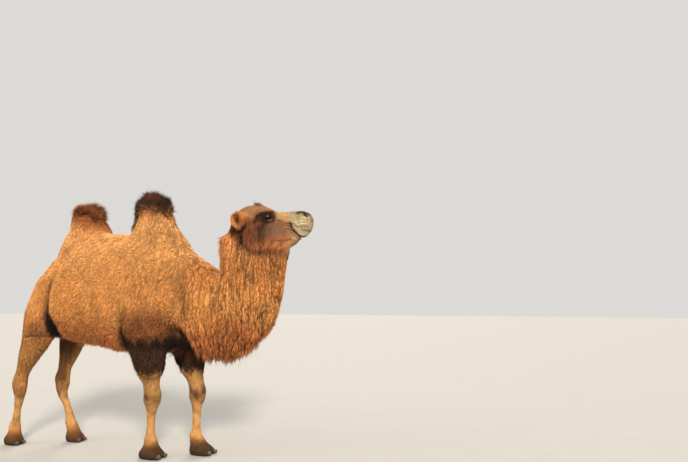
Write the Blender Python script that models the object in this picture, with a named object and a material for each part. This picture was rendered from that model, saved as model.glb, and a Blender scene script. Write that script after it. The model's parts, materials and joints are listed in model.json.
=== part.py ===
"""A Bactrian camel at life size, standing square-on its four feet with its head raised.

Metres, +Z up. The camel faces +X and its right side is towards -Y. Every outline here is the outside
of the coat, out to the tips of the hair.

The body is modelled whole: each limb and mass is a tube of rounded sections swept along its own line,
the tubes are fused and smoothed, and thin cuts part the result into the pieces that a person would name.
Eyes, ears, tail and toenails are pieces of their own.
"""

import math

import bmesh
import bpy
from mathutils import Matrix, Vector
from mathutils.bvhtree import BVHTree

# ---------------------------------------------------------------- driving dimensions

BACK_TOP = 1.875  # the back between the two humps
HUMP_TOP = 2.20  # crown hair of the front hump
REAR_HUMP_TOP = 2.15
BELLY = 0.85  # lowest line of the barrel
BARREL_HALF = 0.40  # half the barrel's greatest breadth
RUMP_X = -1.48  # hindmost point of the rump
NECK_HALF = 0.19  # half the neck's breadth, half way up
MANE_LOW = 0.79  # where the throat mane hangs lowest

HEAD_BASE = Vector((0.62, -0.16, 0.0))  # the skull turns on the neck above this point
HEAD_TURN = 20.0  # degrees that the head is turned to the camel's left
HEAD_LENGTH = 0.602
EYE_RADIUS = 0.026
EYE_BULGE = 0.006  # how far the eyeball stands out of the hair round it
EYE_AT = (0.239, 0.098, 1.935)  # along the head, out to each side, height

KNEE_HEIGHT = 0.49
HOCK_HEIGHT = 0.53

CUT = 0.0004  # thickness of the cuts that part the body, and the gap round an inset piece
VOXEL = 0.011
SMOOTH_PASSES = 6
MELT_PASSES = 40  # further smoothing where softness() says
BODY_TRIANGLES = 4000
SMALLEST_PIECE = 1e-5  # cubic metres; a cut leaves no smaller piece behind

EAR_SIDES = 16
EAR_BOW = 0.25  # how far an ear's edges curl forward, as a share of its half breadth
# Along the ear from root to tip: share of its length, half breadth, thickness either way, depth of the hollow.
EAR_ROWS = (
    (0.00, 0.036, 0.030, 0.000),
    (0.25, 0.063, 0.036, 0.014),
    (0.50, 0.076, 0.034, 0.024),
    (0.75, 0.070, 0.028, 0.020),
    (0.92, 0.050, 0.020, 0.010),
    (1.00, 0.020, 0.010, 0.000),
)

RING_SIDES = 40
STEPS_BETWEEN_RINGS = 6

# Where each leg stands, as x: elbow or stifle, knee or hock, fetlock, foot. The last is the foot's y.
LEGS = {
    "fore_right": (-0.185, -0.155, -0.175, -0.16, -0.122),
    "fore_left": (-0.06, 0.080, 0.095, 0.16, 0.122),
    "hind_right": (-1.38, -1.565, -1.615, -1.62, -0.138),
    "hind_left": (-1.31, -1.375, -1.235, -1.19, 0.138),
}

# The length and breadth of a foot, and the three radii of its nails.
NAILS = {"fore": (0.215, 0.18, (0.026, 0.020, 0.018)), "hind": (0.172, 0.148, (0.023, 0.017, 0.016))}

# Where the cuts run, as (x, z); the head's is along and up the head.
HEAD_CUT = ((-0.30, 2.02), (-0.07, 1.84), (0.00, 1.72), (0.13, 1.652), (0.30, 1.640), (0.60, 1.60))
NECK_CUT = ((0.32, 1.72), (0.42, 1.45), (0.80, 1.06), (1.20, 0.68))
SHOULDER_CUT = ((0.20, 1.80), (0.17, 1.40), (0.145, 1.10), (0.155, 0.72))
HUMP_CUT = 1.905

# A point near the middle of each piece that the cuts leave.
PIECES = {
    "trunk": Vector((-0.70, 0.00, 1.30)),
    "hump_front": Vector((-0.30, 0.00, 2.03)),
    "hump_rear": Vector((-1.05, 0.00, 2.00)),
    "neck_lower": Vector((0.45, 0.00, 1.12)),
    "neck_upper": Vector((0.70, -0.10, 1.55)),
    "head": Vector((0.85, -0.06, 1.88)),
    "foreleg_right_upper": Vector((-0.16, -0.17, 0.66)),
    "foreleg_right_lower": Vector((-0.165, -0.14, 0.28)),
    "forefoot_right": Vector((-0.16, -0.122, 0.04)),
    "foreleg_left_upper": Vector((0.02, 0.17, 0.66)),
    "foreleg_left_lower": Vector((0.09, 0.14, 0.28)),
    "forefoot_left": Vector((0.16, 0.122, 0.04)),
    "hindleg_right_upper": Vector((-1.47, -0.17, 0.70)),
    "hindleg_right_lower": Vector((-1.59, -0.145, 0.30)),
    "hindfoot_right": Vector((-1.62, -0.138, 0.04)),
    "hindleg_left_upper": Vector((-1.34, 0.17, 0.70)),
    "hindleg_left_lower": Vector((-1.31, 0.145, 0.30)),
    "hindfoot_left": Vector((-1.19, 0.138, 0.04)),
}

COLOUR_OF = {
    "hump_front": "coat_dark",
    "hump_rear": "coat_dark",
    "foreleg_right_upper": "coat_dark",
    "foreleg_left_upper": "coat_dark",
    "foreleg_right_lower": "coat_pale",
    "foreleg_left_lower": "coat_pale",
    "hindleg_right_lower": "coat_pale",
    "hindleg_left_lower": "coat_pale",
}

# ---------------------------------------------------------------- materials

COLOURS = {
    "coat_tan": ((0.55, 0.29, 0.12), 0.85),
    "coat_dark": ((0.10, 0.05, 0.03), 0.85),
    "coat_pale": ((0.56, 0.42, 0.27), 0.8),
    "eye": ((0.02, 0.012, 0.008), 0.08),
    "toenail": ((0.05, 0.045, 0.04), 0.5),
}


def material(name):
    """The Principled material of one colour name, made once."""
    found = bpy.data.materials.get(name)
    if found:
        return found
    (red, green, blue), roughness = COLOURS[name]
    made = bpy.data.materials.new(name)
    made.use_nodes = True
    shader = made.node_tree.nodes["Principled BSDF"]
    shader.inputs["Base Color"].default_value = (red, green, blue, 1.0)
    shader.inputs["Roughness"].default_value = roughness
    shader.inputs["Metallic"].default_value = 0.0
    return made


# ---------------------------------------------------------------- swept tubes


def eased(rows, steps):
    """The rows with Catmull-Rom steps between them, each row a tuple of numbers."""
    out = []
    last = len(rows) - 1
    for i in range(last):
        before, start, end, after = (rows[max(i - 1, 0)], rows[i], rows[i + 1], rows[min(i + 2, last)])
        for step in range(steps):
            t = step / steps
            out.append(
                tuple(
                    0.5 * (2 * b + (c - a) * t + (2 * a - 5 * b + 4 * c - d) * t * t
                           + (3 * b - a - 3 * c + d) * t ** 3)
                    for a, b, c, d in zip(before, start, end, after)
                )
            )
    out.append(tuple(rows[-1]))
    return out


def rounded(angle, power):
    """Cosine and sine of a superellipse: power 2 is an ellipse, more is boxier."""
    cosine, sine = math.cos(angle), math.sin(angle)
    return (
        math.copysign(abs(cosine) ** (2 / power), cosine),
        math.copysign(abs(sine) ** (2 / power), sine),
    )


def tube(name, rows, side=Vector((0, 1, 0)), power=2.1, steps=STEPS_BETWEEN_RINGS, sides=RING_SIDES):
    """A closed tube through rows of (x, y, z, half breadth, reach above, reach below).

    Breadth is along side. Above is the tube's own direction crossed with side: the back of a body
    that runs forwards, the nape of a neck that rises, the front of a leg that runs down.
    """
    rows = eased(rows, steps)
    centres = [Vector(row[:3]) for row in rows]
    mesh = bmesh.new()
    rings = []
    for i, (centre, row) in enumerate(zip(centres, rows)):
        along = (centres[min(i + 1, len(rows) - 1)] - centres[max(i - 1, 0)]).normalized()
        above = along.cross(side).normalized()
        across = above.cross(along).normalized()
        ring = []
        for k in range(sides):
            u, v = rounded(2 * math.pi * k / sides, power)
            reach = row[4] if v > 0 else row[5]
            ring.append(mesh.verts.new(centre + across * (u * row[3]) + above * (v * reach)))
        rings.append(ring)
    for lower, upper in zip(rings, rings[1:]):
        for k in range(sides):
            j = (k + 1) % sides
            mesh.faces.new((lower[k], lower[j], upper[j], upper[k]))
    mesh.faces.new(list(reversed(rings[0])))
    mesh.faces.new(rings[-1])
    bmesh.ops.recalc_face_normals(mesh, faces=mesh.faces)
    return finished(mesh, name)


def finished(mesh, name):
    """The bmesh as an object in the scene."""
    data = bpy.data.meshes.new(name)
    mesh.to_mesh(data)
    mesh.free()
    made = bpy.data.objects.new(name, data)
    bpy.context.scene.collection.objects.link(made)
    return made


def ball(name, centre, radii, turn=0.0, segments=24):
    """An ellipsoid of those three radii, turned about Z by degrees."""
    mesh = bmesh.new()
    bmesh.ops.create_uvsphere(mesh, u_segments=segments, v_segments=segments // 2, radius=1.0)
    placed = Matrix.Translation(centre) @ Matrix.Rotation(math.radians(turn), 4, "Z") @ Matrix.Diagonal((*radii, 1))
    bmesh.ops.transform(mesh, matrix=placed, verts=mesh.verts)
    return finished(mesh, name)


# ---------------------------------------------------------------- the masses of the body


def trunk():
    """The barrel from rump to chest, as rows of x, top, bottom, half breadth, height of the widest line."""
    profile = (
        (RUMP_X, 1.40, 1.28, 0.03, 1.34),
        (RUMP_X + 0.01, 1.50, 1.18, 0.09, 1.33),
        (RUMP_X + 0.06, 1.62, 1.08, 0.16, 1.33),
        (RUMP_X + 0.15, 1.73, 0.99, 0.22, 1.32),
        (-1.20, 1.83, 0.95, 0.28, 1.30),
        (-1.05, 1.88, 0.925, 0.35, 1.27),
        (-0.75, BACK_TOP + 0.01, BELLY + 0.04, BARREL_HALF, 1.25),
        (-0.48, BACK_TOP, BELLY, BARREL_HALF, 1.22),
        (-0.25, BACK_TOP - 0.02, BELLY, 0.38, 1.22),
        (0.00, 1.75, BELLY + 0.02, 0.34, 1.24),
        (0.18, 1.60, BELLY + 0.01, 0.30, 1.22),
        (0.34, 1.47, MANE_LOW + 0.04, 0.25, 1.17),
        (0.46, 1.38, MANE_LOW + 0.14, 0.19, 1.16),
        (0.55, 1.30, MANE_LOW + 0.24, 0.10, 1.15),
    )
    rows = [(x, 0.0, widest, half, top - widest, widest - bottom) for x, top, bottom, half, widest in profile]
    return tube("trunk", rows)


def hump(name, x, top, rows):
    """An upright hump about x, as rows of height below the top, reach back, reach forward, half breadth."""
    return tube(name, [(x, 0.0, top - drop, half, back, front) for drop, back, front, half in rows])


def humps():
    front = hump("hump_front", -0.31, HUMP_TOP, (
        (0.86, 0.14, 0.20, 0.15),
        (0.70, 0.26, 0.42, 0.27),
        (0.52, 0.25, 0.42, 0.245),
        (0.36, 0.19, 0.29, 0.20),
        (0.22, 0.170, 0.215, 0.155),
        (0.10, 0.175, 0.175, 0.135),
        (0.035, 0.165, 0.165, 0.125),
        (0.008, 0.125, 0.13, 0.09),
        (0.00, 0.07, 0.07, 0.045),
    ))
    rear = hump("hump_rear", -1.04, REAR_HUMP_TOP, (
        (0.78, 0.12, 0.16, 0.13),
        (0.62, 0.20, 0.36, 0.25),
        (0.45, 0.23, 0.37, 0.245),
        (0.31, 0.19, 0.30, 0.19),
        (0.18, 0.16, 0.210, 0.15),
        (0.09, 0.155, 0.160, 0.130),
        (0.035, 0.145, 0.135, 0.115),
        (0.008, 0.11, 0.10, 0.08),
        (0.00, 0.06, 0.04, 0.04),
    ))
    return [front, rear]


def neck():
    """The neck with its throat mane: it dips forward out of the chest and rises to the skull."""
    rows = (
        (-0.02, 0.000, 1.26, 0.12, 0.15, 0.15),
        (0.14, 0.000, 1.22, 0.25, 0.30, 0.31),
        (0.36, 0.000, 1.16, 0.26, 0.34, 0.37),
        (0.53, -0.015, 1.235, 0.24, 0.305, 0.37),
        (0.64, -0.045, 1.38, 0.22, 0.285, 0.34),
        (0.695, -0.085, 1.55, NECK_HALF, 0.28, 0.32),
        (0.71, -0.110, 1.69, 0.155, 0.305, 0.345),
        (0.715, -0.128, 1.79, 0.120, 0.295, 0.25),
        (0.71, -0.135, 1.86, 0.085, 0.230, 0.12),
        (0.70, -0.135, 1.90, 0.035, 0.080, 0.05),
    )
    return tube("neck", rows)


def head_frame():
    """The matrix that takes a point along, across and up the head to its place."""
    return Matrix.Translation(HEAD_BASE) @ Matrix.Rotation(math.radians(HEAD_TURN), 4, "Z")


def head_tube(name, profile, power=2.2):
    """A tube along the head, as rows of distance forward, top, bottom, half breadth, height of the widest line."""
    placed = head_frame()
    rows = []
    for forward, top, bottom, half, widest in profile:
        rows.append((*(placed @ Vector((forward, 0.0, widest))), half, top - widest, widest - bottom))
    return tube(name, rows, side=placed.to_3x3() @ Vector((0, 1, 0)), power=power)


def head():
    skull = head_tube("skull", (
        (-0.075, 1.90, 1.84, 0.03, 1.87),
        (-0.06, 1.95, 1.78, 0.08, 1.865),
        (-0.01, 1.990, 1.71, 0.115, 1.865),
        (0.06, 2.030, 1.67, 0.130, 1.87),
        (0.15, 2.056, 1.65, 0.130, 1.89),
        (0.215, 2.042, 1.645, 0.124, 1.90),
        (0.27, 2.010, 1.65, 0.107, 1.895),
        (0.31, 1.994, 1.655, 0.096, 1.893),
        (0.36, 1.993, 1.67, 0.084, 1.89),
        (0.43, 1.998, 1.705, 0.074, 1.89),
        (0.49, 2.005, 1.752, 0.072, 1.895),
        (0.53, 1.998, 1.768, 0.070, 1.890),
        (0.565, 1.968, 1.772, 0.063, 1.875),
        (0.588, 1.925, 1.790, 0.048, 1.865),
        (HEAD_LENGTH, 1.885, 1.825, 0.022, 1.86),
    ))
    cheeks = head_tube("cheeks", (
        (-0.02, 1.79, 1.75, 0.03, 1.77),
        (0.02, 1.84, 1.70, 0.085, 1.77),
        (0.12, 1.86, 1.660, 0.115, 1.76),
        (0.24, 1.85, 1.650, 0.105, 1.75),
        (0.36, 1.82, 1.672, 0.075, 1.75),
        (0.44, 1.80, 1.715, 0.055, 1.76),
        (0.47, 1.78, 1.740, 0.020, 1.76),
    ))
    return [skull, cheeks]


# ---------------------------------------------------------------- limbs


def between(start, end, share):
    return start + (end - start) * share


def foreleg(side):
    """A foreleg that hangs from the shoulder, its forearm in a deep sleeve of hair down to above the knee."""
    elbow, knee, fetlock, foot_x, y = LEGS[side]
    out = math.copysign(1, y)
    top = between(elbow, 0.0, 0.4)
    rows = (
        (top, out * 0.15, 1.52, 0.05, 0.06, 0.06),
        (top, out * 0.16, 1.45, 0.11, 0.14, 0.15),
        (top, out * 0.18, 1.32, 0.15, 0.20, 0.22),
        (between(elbow, top, 0.6), out * 0.205, 1.12, 0.145, 0.18, 0.20),
        (elbow, out * 0.195, 0.95, 0.125, 0.180, 0.165),
        (between(elbow, knee, 0.25), out * 0.185, 0.80, 0.118, 0.165, 0.140),
        (between(elbow, knee, 0.55), out * 0.17, 0.69, 0.092, 0.122, 0.104),
        (between(elbow, knee, 0.8), out * 0.16, 0.61, 0.066, 0.072, 0.074),
        (knee, out * 0.150, KNEE_HEIGHT, 0.068, 0.080, 0.074),
        (knee, out * 0.147, KNEE_HEIGHT - 0.07, 0.056, 0.062, 0.062),
        (between(knee, fetlock, 0.5), out * 0.140, 0.33, 0.041, 0.041, 0.045),
        (between(knee, fetlock, 0.8), out * 0.132, 0.20, 0.041, 0.041, 0.045),
        (fetlock, y, 0.125, 0.057, 0.060, 0.062),
        (between(fetlock, foot_x, 0.6), y, 0.07, 0.065, 0.072, 0.065),
    )
    return tube("foreleg_" + side, rows)


def hindleg(side):
    """A hind leg: a deep thigh from the hip, the shank back to the hock, and the cannon down to the foot."""
    stifle, hock, fetlock, foot_x, y = LEGS[side]
    out = math.copysign(1, y)
    rows = (
        (-1.20, out * 0.10, 1.60, 0.03, 0.05, 0.05),
        (-1.20, out * 0.11, 1.56, 0.08, 0.12, 0.12),
        (-1.21, out * 0.135, 1.46, 0.12, 0.18, 0.20),
        (-1.24, out * 0.165, 1.30, 0.140, 0.20, 0.22),
        (between(stifle, -1.25, 0.5), out * 0.185, 1.10, 0.13, 0.18, 0.19),
        (stifle, out * 0.185, 0.94, 0.105, 0.15, 0.15),
        (between(stifle, hock, 0.45), out * 0.175, 0.78, 0.078, 0.096, 0.110),
        (between(stifle, hock, 0.8), out * 0.160, 0.65, 0.058, 0.064, 0.082),
        (hock, out * 0.152, HOCK_HEIGHT, 0.058, 0.072, 0.090),
        (hock, out * 0.150, HOCK_HEIGHT - 0.10, 0.047, 0.054, 0.066),
        (between(hock, fetlock, 0.4), out * 0.147, 0.33, 0.036, 0.038, 0.042),
        (between(hock, fetlock, 0.75), out * 0.142, 0.22, 0.040, 0.042, 0.046),
        (fetlock, y, 0.14, 0.051, 0.055, 0.059),
        (between(fetlock, foot_x, 0.6), y, 0.07, 0.061, 0.070, 0.064),
    )
    return tube("hindleg_" + side, rows)


def foot(side, length, breadth):
    """A broad two-toed pad, its toes turned a little apart. It reaches below the ground, where it is cut level."""
    x, y = LEGS[side][3:]
    toes = []
    for outward in (-1, 1):
        toe_y = y + outward * 0.22 * breadth
        rows = (
            (x - 0.49 * length, y + outward * 0.05 * breadth, 0.012, 0.10 * breadth, 0.015, 0.04),
            (x - 0.43 * length, y + outward * 0.08 * breadth, 0.020, 0.22 * breadth, 0.030, 0.05),
            (x - 0.22 * length, y + outward * 0.15 * breadth, 0.045, 0.33 * breadth, 0.050, 0.08),
            (x + 0.10 * length, toe_y, 0.036, 0.29 * breadth, 0.046, 0.07),
            (x + 0.34 * length, toe_y + outward * 0.02 * breadth, 0.020, 0.24 * breadth, 0.034, 0.05),
            (x + 0.46 * length, toe_y + outward * 0.03 * breadth, 0.008, 0.16 * breadth, 0.022, 0.03),
            (x + 0.50 * length, toe_y + outward * 0.03 * breadth, 0.002, 0.08 * breadth, 0.012, 0.02),
        )
        toes.append(tube("toe", rows))
    pad = (
        (x - 0.46 * length, y, 0.010, 0.18 * breadth, 0.020, 0.03),
        (x - 0.36 * length, y, 0.020, 0.40 * breadth, 0.035, 0.05),
        (x - 0.10 * length, y, 0.030, 0.44 * breadth, 0.050, 0.06),
        (x + 0.14 * length, y, 0.020, 0.40 * breadth, 0.040, 0.05),
        (x + 0.28 * length, y, 0.006, 0.24 * breadth, 0.026, 0.03),
        (x + 0.33 * length, y, 0.000, 0.10 * breadth, 0.015, 0.02),
    )
    return [*toes, tube("pad", pad)]


def toenails(side, length, breadth):
    """The two nails of one foot, as centres: one at the tip of each toe."""
    x, y = LEGS[side][3:]
    return [Vector((x + 0.43 * length, y + outward * 0.245 * breadth, 0.022)) for outward in (-1, 1)]


def ear(name, side):
    """An upright cupped ear: its hollow faces out to the side and a little forward."""
    placed = head_frame()
    root = placed @ Vector((0.030, side * 0.085, 1.852))
    tip = placed @ Vector((-0.010, side * 0.192, 1.962))
    axis = (tip - root).normalized()
    outward = (placed.to_3x3() @ Vector((0.35, side, 0.1))).normalized()
    facing = (outward - axis * outward.dot(axis)).normalized()
    across = axis.cross(facing).normalized()
    length = (tip - root).length
    mesh = bmesh.new()
    rings = []
    for share, half, thick, hollow in EAR_ROWS:
        ring = []
        for k in range(EAR_SIDES):
            angle = 2 * math.pi * k / EAR_SIDES
            u, v = math.cos(angle), math.sin(angle)
            depth = v * thick - max(v, 0.0) * hollow * (1 - u * u) + EAR_BOW * half * u * u
            ring.append(mesh.verts.new(root + axis * (share * length) + across * (u * half) + facing * depth))
        rings.append(ring)
    for lower, upper in zip(rings, rings[1:]):
        for k in range(EAR_SIDES):
            j = (k + 1) % EAR_SIDES
            mesh.faces.new((lower[k], lower[j], upper[j], upper[k]))
    mesh.faces.new(list(reversed(rings[0])))
    mesh.faces.new(rings[-1])
    bmesh.ops.recalc_face_normals(mesh, faces=mesh.faces)
    return finished(mesh, name)


def tail():
    """The tail hangs close behind the rump and ends in a brush of hair."""
    rows = (
        (RUMP_X + 0.06, 0.0, 1.43, 0.040, 0.035, 0.035),
        (RUMP_X - 0.015, 0.0, 1.38, 0.042, 0.036, 0.036),
        (RUMP_X - 0.055, 0.0, 1.29, 0.036, 0.032, 0.032),
        (RUMP_X - 0.070, 0.0, 1.16, 0.030, 0.028, 0.028),
        (RUMP_X - 0.075, 0.0, 1.04, 0.034, 0.030, 0.030),
        (RUMP_X - 0.080, 0.0, 0.93, 0.040, 0.034, 0.034),
        (RUMP_X - 0.085, 0.0, 0.85, 0.028, 0.024, 0.024),
        (RUMP_X - 0.088, 0.0, 0.80, 0.010, 0.010, 0.010),
    )
    made = tube("tail", rows, steps=2, sides=10)
    made.data.materials.append(material("coat_tan"))
    return made


# ---------------------------------------------------------------- fusing and parting


def evaluated_copy(obj, name):
    """A new object that holds obj's mesh with its modifiers applied."""
    graph = bpy.context.evaluated_depsgraph_get()
    data = bpy.data.meshes.new_from_object(obj.evaluated_get(graph))
    made = bpy.data.objects.new(name, data)
    bpy.context.scene.collection.objects.link(made)
    return made


def ramp(value, low, high):
    """0 below low, 1 above high, and an even slope between them."""
    return min(max((value - low) / (high - low), 0.0), 1.0)


def softness(point):
    """How far the masses melt into one another here: fully on the trunk, hardly on the head and the legs."""
    local = head_frame().inverted() @ point
    on_head = ramp(local.x, 0.04, 0.24) * ramp(point.z, 1.60, 1.72)
    return ramp(point.z, 0.80, 1.15) * (1.0 - on_head)


def fuse(masses, name):
    """One closed surface round all the masses: joined, remeshed, smoothed, and thinned to few triangles."""
    whole = bmesh.new()
    for mass in masses:
        whole.from_mesh(mass.data)
        bpy.data.objects.remove(mass)
    joined = finished(whole, name + "_masses")
    remesh = joined.modifiers.new("remesh", "REMESH")
    remesh.mode = "VOXEL"
    remesh.voxel_size = VOXEL
    bpy.context.view_layer.update()
    dense = evaluated_copy(joined, name + "_dense")
    bpy.data.objects.remove(joined)
    soft = dense.vertex_groups.new(name="soft")
    for vertex in dense.data.vertices:
        soft.add([vertex.index], softness(vertex.co), "REPLACE")
    for label, passes, group in (("smooth", SMOOTH_PASSES, ""), ("melt", MELT_PASSES, "soft")):
        smooth = dense.modifiers.new(label, "SMOOTH")
        smooth.factor = 0.5
        smooth.iterations = passes
        smooth.vertex_group = group
    thin = dense.modifiers.new("thin", "DECIMATE")
    thin.ratio = BODY_TRIANGLES / sum(len(face.vertices) - 2 for face in dense.data.polygons)
    thin.use_collapse_triangulate = True
    bpy.context.view_layer.update()
    fused = evaluated_copy(dense, name)
    bpy.data.objects.remove(dense)
    fused.vertex_groups.clear()
    level(fused)
    return fused


def level(obj):
    """Cuts the object off flat at the ground."""
    mesh = bmesh.new()
    mesh.from_mesh(obj.data)
    everything = mesh.verts[:] + mesh.edges[:] + mesh.faces[:]
    cut = bmesh.ops.bisect_plane(mesh, geom=everything, plane_co=(0, 0, 0), plane_no=(0, 0, 1), clear_inner=True)
    rim = [edge for edge in cut["geom_cut"] if isinstance(edge, bmesh.types.BMEdge)]
    bmesh.ops.holes_fill(mesh, edges=rim, sides=0)
    bmesh.ops.triangulate(mesh, faces=[face for face in mesh.faces if len(face.verts) > 3])
    mesh.to_mesh(obj.data)
    mesh.free()


def blade(name, path, across, placed=Matrix.Identity(4)):
    """A folded sheet CUT thick that follows a path of (x, z) and reaches across from one y to another."""
    half = CUT / 2
    points = [Vector((x, 0.0, z)) for x, z in path]
    sides = []
    for i, point in enumerate(points):
        before = (point - points[i - 1]).normalized() if i else None
        after = (points[i + 1] - point).normalized() if i + 1 < len(points) else None
        along = ((before or after) + (after or before)).normalized()
        normal = Vector((-along.z, 0.0, along.x))
        stretch = half / max(normal.dot(Vector((-(after or before).z, 0.0, (after or before).x))), 0.5)
        sides.append((point + normal * stretch, point - normal * stretch))
    mesh = bmesh.new()
    rings = []
    for upper, lower in sides:
        ring = []
        for corner, y in ((upper, across[0]), (upper, across[1]), (lower, across[1]), (lower, across[0])):
            ring.append(mesh.verts.new(placed @ (corner + Vector((0.0, y, 0.0)))))
        rings.append(ring)
    for first, second in zip(rings, rings[1:]):
        for k in range(4):
            j = (k + 1) % 4
            mesh.faces.new((first[k], first[j], second[j], second[k]))
    mesh.faces.new(list(reversed(rings[0])))
    mesh.faces.new(rings[-1])
    bmesh.ops.recalc_face_normals(mesh, faces=mesh.faces)
    return finished(mesh, name)


def joined(pieces, name):
    """One object that holds all the pieces' meshes; the pieces go."""
    whole = bmesh.new()
    for piece in pieces:
        whole.from_mesh(piece.data)
        bpy.data.objects.remove(piece)
    return finished(whole, name)


def carve(obj, cutter):
    """obj less cutter, as a plain mesh. Returns the new object; obj and cutter go."""
    difference = obj.modifiers.new("carve", "BOOLEAN")
    difference.operation = "DIFFERENCE"
    difference.solver = "EXACT"
    difference.object = cutter
    bpy.context.view_layer.update()
    name = obj.name
    carved = evaluated_copy(obj, name + "_carved")
    bpy.data.objects.remove(obj)
    bpy.data.objects.remove(cutter)
    carved.name = name
    return carved


def islands(obj):
    """Each loose piece of obj as an object of its own; obj goes."""
    whole = bmesh.new()
    whole.from_mesh(obj.data)
    whole.verts.ensure_lookup_table()
    unseen = set(range(len(whole.verts)))
    pieces = []
    while unseen:
        found = {unseen.pop()}
        edge_of = list(found)
        while edge_of:
            vertex = whole.verts[edge_of.pop()]
            for link in vertex.link_edges:
                other = link.other_vert(vertex).index
                if other not in found:
                    found.add(other)
                    edge_of.append(other)
        unseen -= found
        piece = whole.copy()
        piece.verts.ensure_lookup_table()
        bmesh.ops.delete(piece, geom=[v for v in piece.verts if v.index not in found], context="VERTS")
        if piece.calc_volume() > SMALLEST_PIECE:
            pieces.append(finished(piece, "piece"))
        else:
            piece.free()
    whole.free()
    bpy.data.objects.remove(obj)
    return pieces


def centre_of(obj):
    return sum((vertex.co for vertex in obj.data.vertices), Vector()) / len(obj.data.vertices)


def name_pieces(pieces, seeds):
    """Gives each piece the name of the nearest seed, which must be a one-to-one match."""
    for piece in pieces:
        centre = centre_of(piece)
        name = min(seeds, key=lambda seed: (seeds[seed] - centre).length)
        if bpy.data.objects.get(name):
            raise RuntimeError(f"two pieces are nearest to {name}: {centre}")
        piece.name = name
    missing = [name for name in seeds if not bpy.data.objects.get(name)]
    if missing:
        raise RuntimeError(f"no piece for {missing}")


def surface_towards(obj, start, direction):
    """Where a ray from start first leaves obj."""
    tree = BVHTree.FromObject(obj, bpy.context.evaluated_depsgraph_get())
    return tree.ray_cast(start, direction)[0]


def swollen_copy(obj, name, by):
    """A copy of obj with each vertex moved out along its normal."""
    mesh = bmesh.new()
    mesh.from_mesh(obj.data)
    mesh.normal_update()
    for vertex in mesh.verts:
        vertex.co += vertex.normal * by
    return finished(mesh, name)


def place_eyes(body):
    """Cuts a socket for each eye and sets the eyeball in it with CUT to spare."""
    placed = head_frame()
    sockets = []
    forward, out, height = EYE_AT
    for name, side in (("eye_right", -1), ("eye_left", 1)):
        direction = (placed.to_3x3() @ Vector((0.0, side, 0.0))).normalized()
        skin = surface_towards(body, placed @ Vector((forward, 0.0, height)), direction)
        centre = skin - direction * (EYE_RADIUS - EYE_BULGE)
        eye = ball(name, centre, (EYE_RADIUS,) * 3, segments=16)
        eye.data.materials.append(material("eye"))
        sockets.append(ball("socket", centre, (EYE_RADIUS + CUT,) * 3, segments=16))
    return carve(body, joined(sockets, "sockets"))


def place_toenails(body):
    recesses = []
    for side in LEGS:
        length, breadth, radii = NAILS["fore" if side.startswith("fore") else "hind"]
        for outward, centre in zip(("right", "left"), toenails(side, length, breadth)):
            part = side.replace("fore_", "forefoot_").replace("hind_", "hindfoot_")
            nail = ball(f"nail_{part}_{outward}", centre, radii, segments=10)
            nail.data.materials.append(material("toenail"))
            recesses.append(ball("recess", centre, tuple(radius + CUT for radius in radii), segments=10))
    return carve(body, joined(recesses, "recesses"))


def leg_blades():
    made = []
    for side, (upper, middle, fetlock, foot_x, y) in LEGS.items():
        joint = KNEE_HEIGHT - 0.02 if side.startswith("fore") else HOCK_HEIGHT - 0.03
        top = 0.825 if side.startswith("fore") else 0.90
        sign = math.copysign(1, y)
        across = sorted((sign * 0.02, sign * 0.45))
        for height, x in ((top, upper), (joint, middle), (0.115, between(fetlock, foot_x, 0.4))):
            made.append(blade("cut", ((x - 0.32, height), (x + 0.30, height)), across))
    return made


def body_blades():
    return [
        blade("cut", HEAD_CUT, (-0.35, 0.35), head_frame()),
        blade("cut", NECK_CUT, (-0.6, 0.6)),
        blade("cut", SHOULDER_CUT, (-0.6, 0.6)),
        blade("cut", ((-0.69, HUMP_CUT), (0.15, HUMP_CUT)), (-0.4, 0.4)),
        blade("cut", ((-1.45, HUMP_CUT + 0.01), (-0.71, HUMP_CUT + 0.01)), (-0.4, 0.4)),
    ]


def main():
    masses = [trunk(), *humps(), neck(), *head()]
    for side in LEGS:
        if side.startswith("fore"):
            masses.append(foreleg(side))
            masses += foot(side, *NAILS["fore"][:2])
        else:
            masses.append(hindleg(side))
            masses += foot(side, *NAILS["hind"][:2])
    body = fuse(masses, "body")
    body = place_eyes(body)
    body = place_toenails(body)
    trimmings = [ear("ear_right", -1), ear("ear_left", 1), tail()]
    for piece in trimmings:
        name = piece.name
        carve(piece, swollen_copy(body, "swollen", CUT)).name = name
    body = carve(body, joined(leg_blades(), "leg_blades"))
    body = carve(body, joined(body_blades(), "body_blades"))
    name_pieces(islands(body), PIECES)
    for name in PIECES:
        bpy.data.objects[name].data.materials.clear()
        bpy.data.objects[name].data.materials.append(material(COLOUR_OF.get(name, "coat_tan")))
    for name in ("ear_right", "ear_left"):
        bpy.data.objects[name].data.materials.append(material("coat_tan"))
    return recentre()


def recentre():
    """Moves everything so that the origin is the middle of the bounding box's bottom. Returns the shift."""
    bpy.context.view_layer.update()
    points = [vertex.co for obj in bpy.data.objects for vertex in obj.data.vertices]
    low = Vector([min(point[i] for point in points) for i in range(3)])
    high = Vector([max(point[i] for point in points) for i in range(3)])
    shift = Vector((-(low.x + high.x) / 2, -(low.y + high.y) / 2, 0.0))
    for obj in bpy.data.objects:
        obj.data.transform(Matrix.Translation(shift))
        obj.data.update()
    return shift


for stale in list(bpy.data.objects):
    bpy.data.objects.remove(stale)
ORIGIN = main()
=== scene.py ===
"""The looks of a standing Bactrian camel: one skin, a coat of solid tufts, eyes, lashes and toenails."""

import collections
import json
import math

import bmesh
import bpy
import numpy as np
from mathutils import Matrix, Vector
from mathutils.bvhtree import BVHTree
from mathutils.kdtree import KDTree


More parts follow.
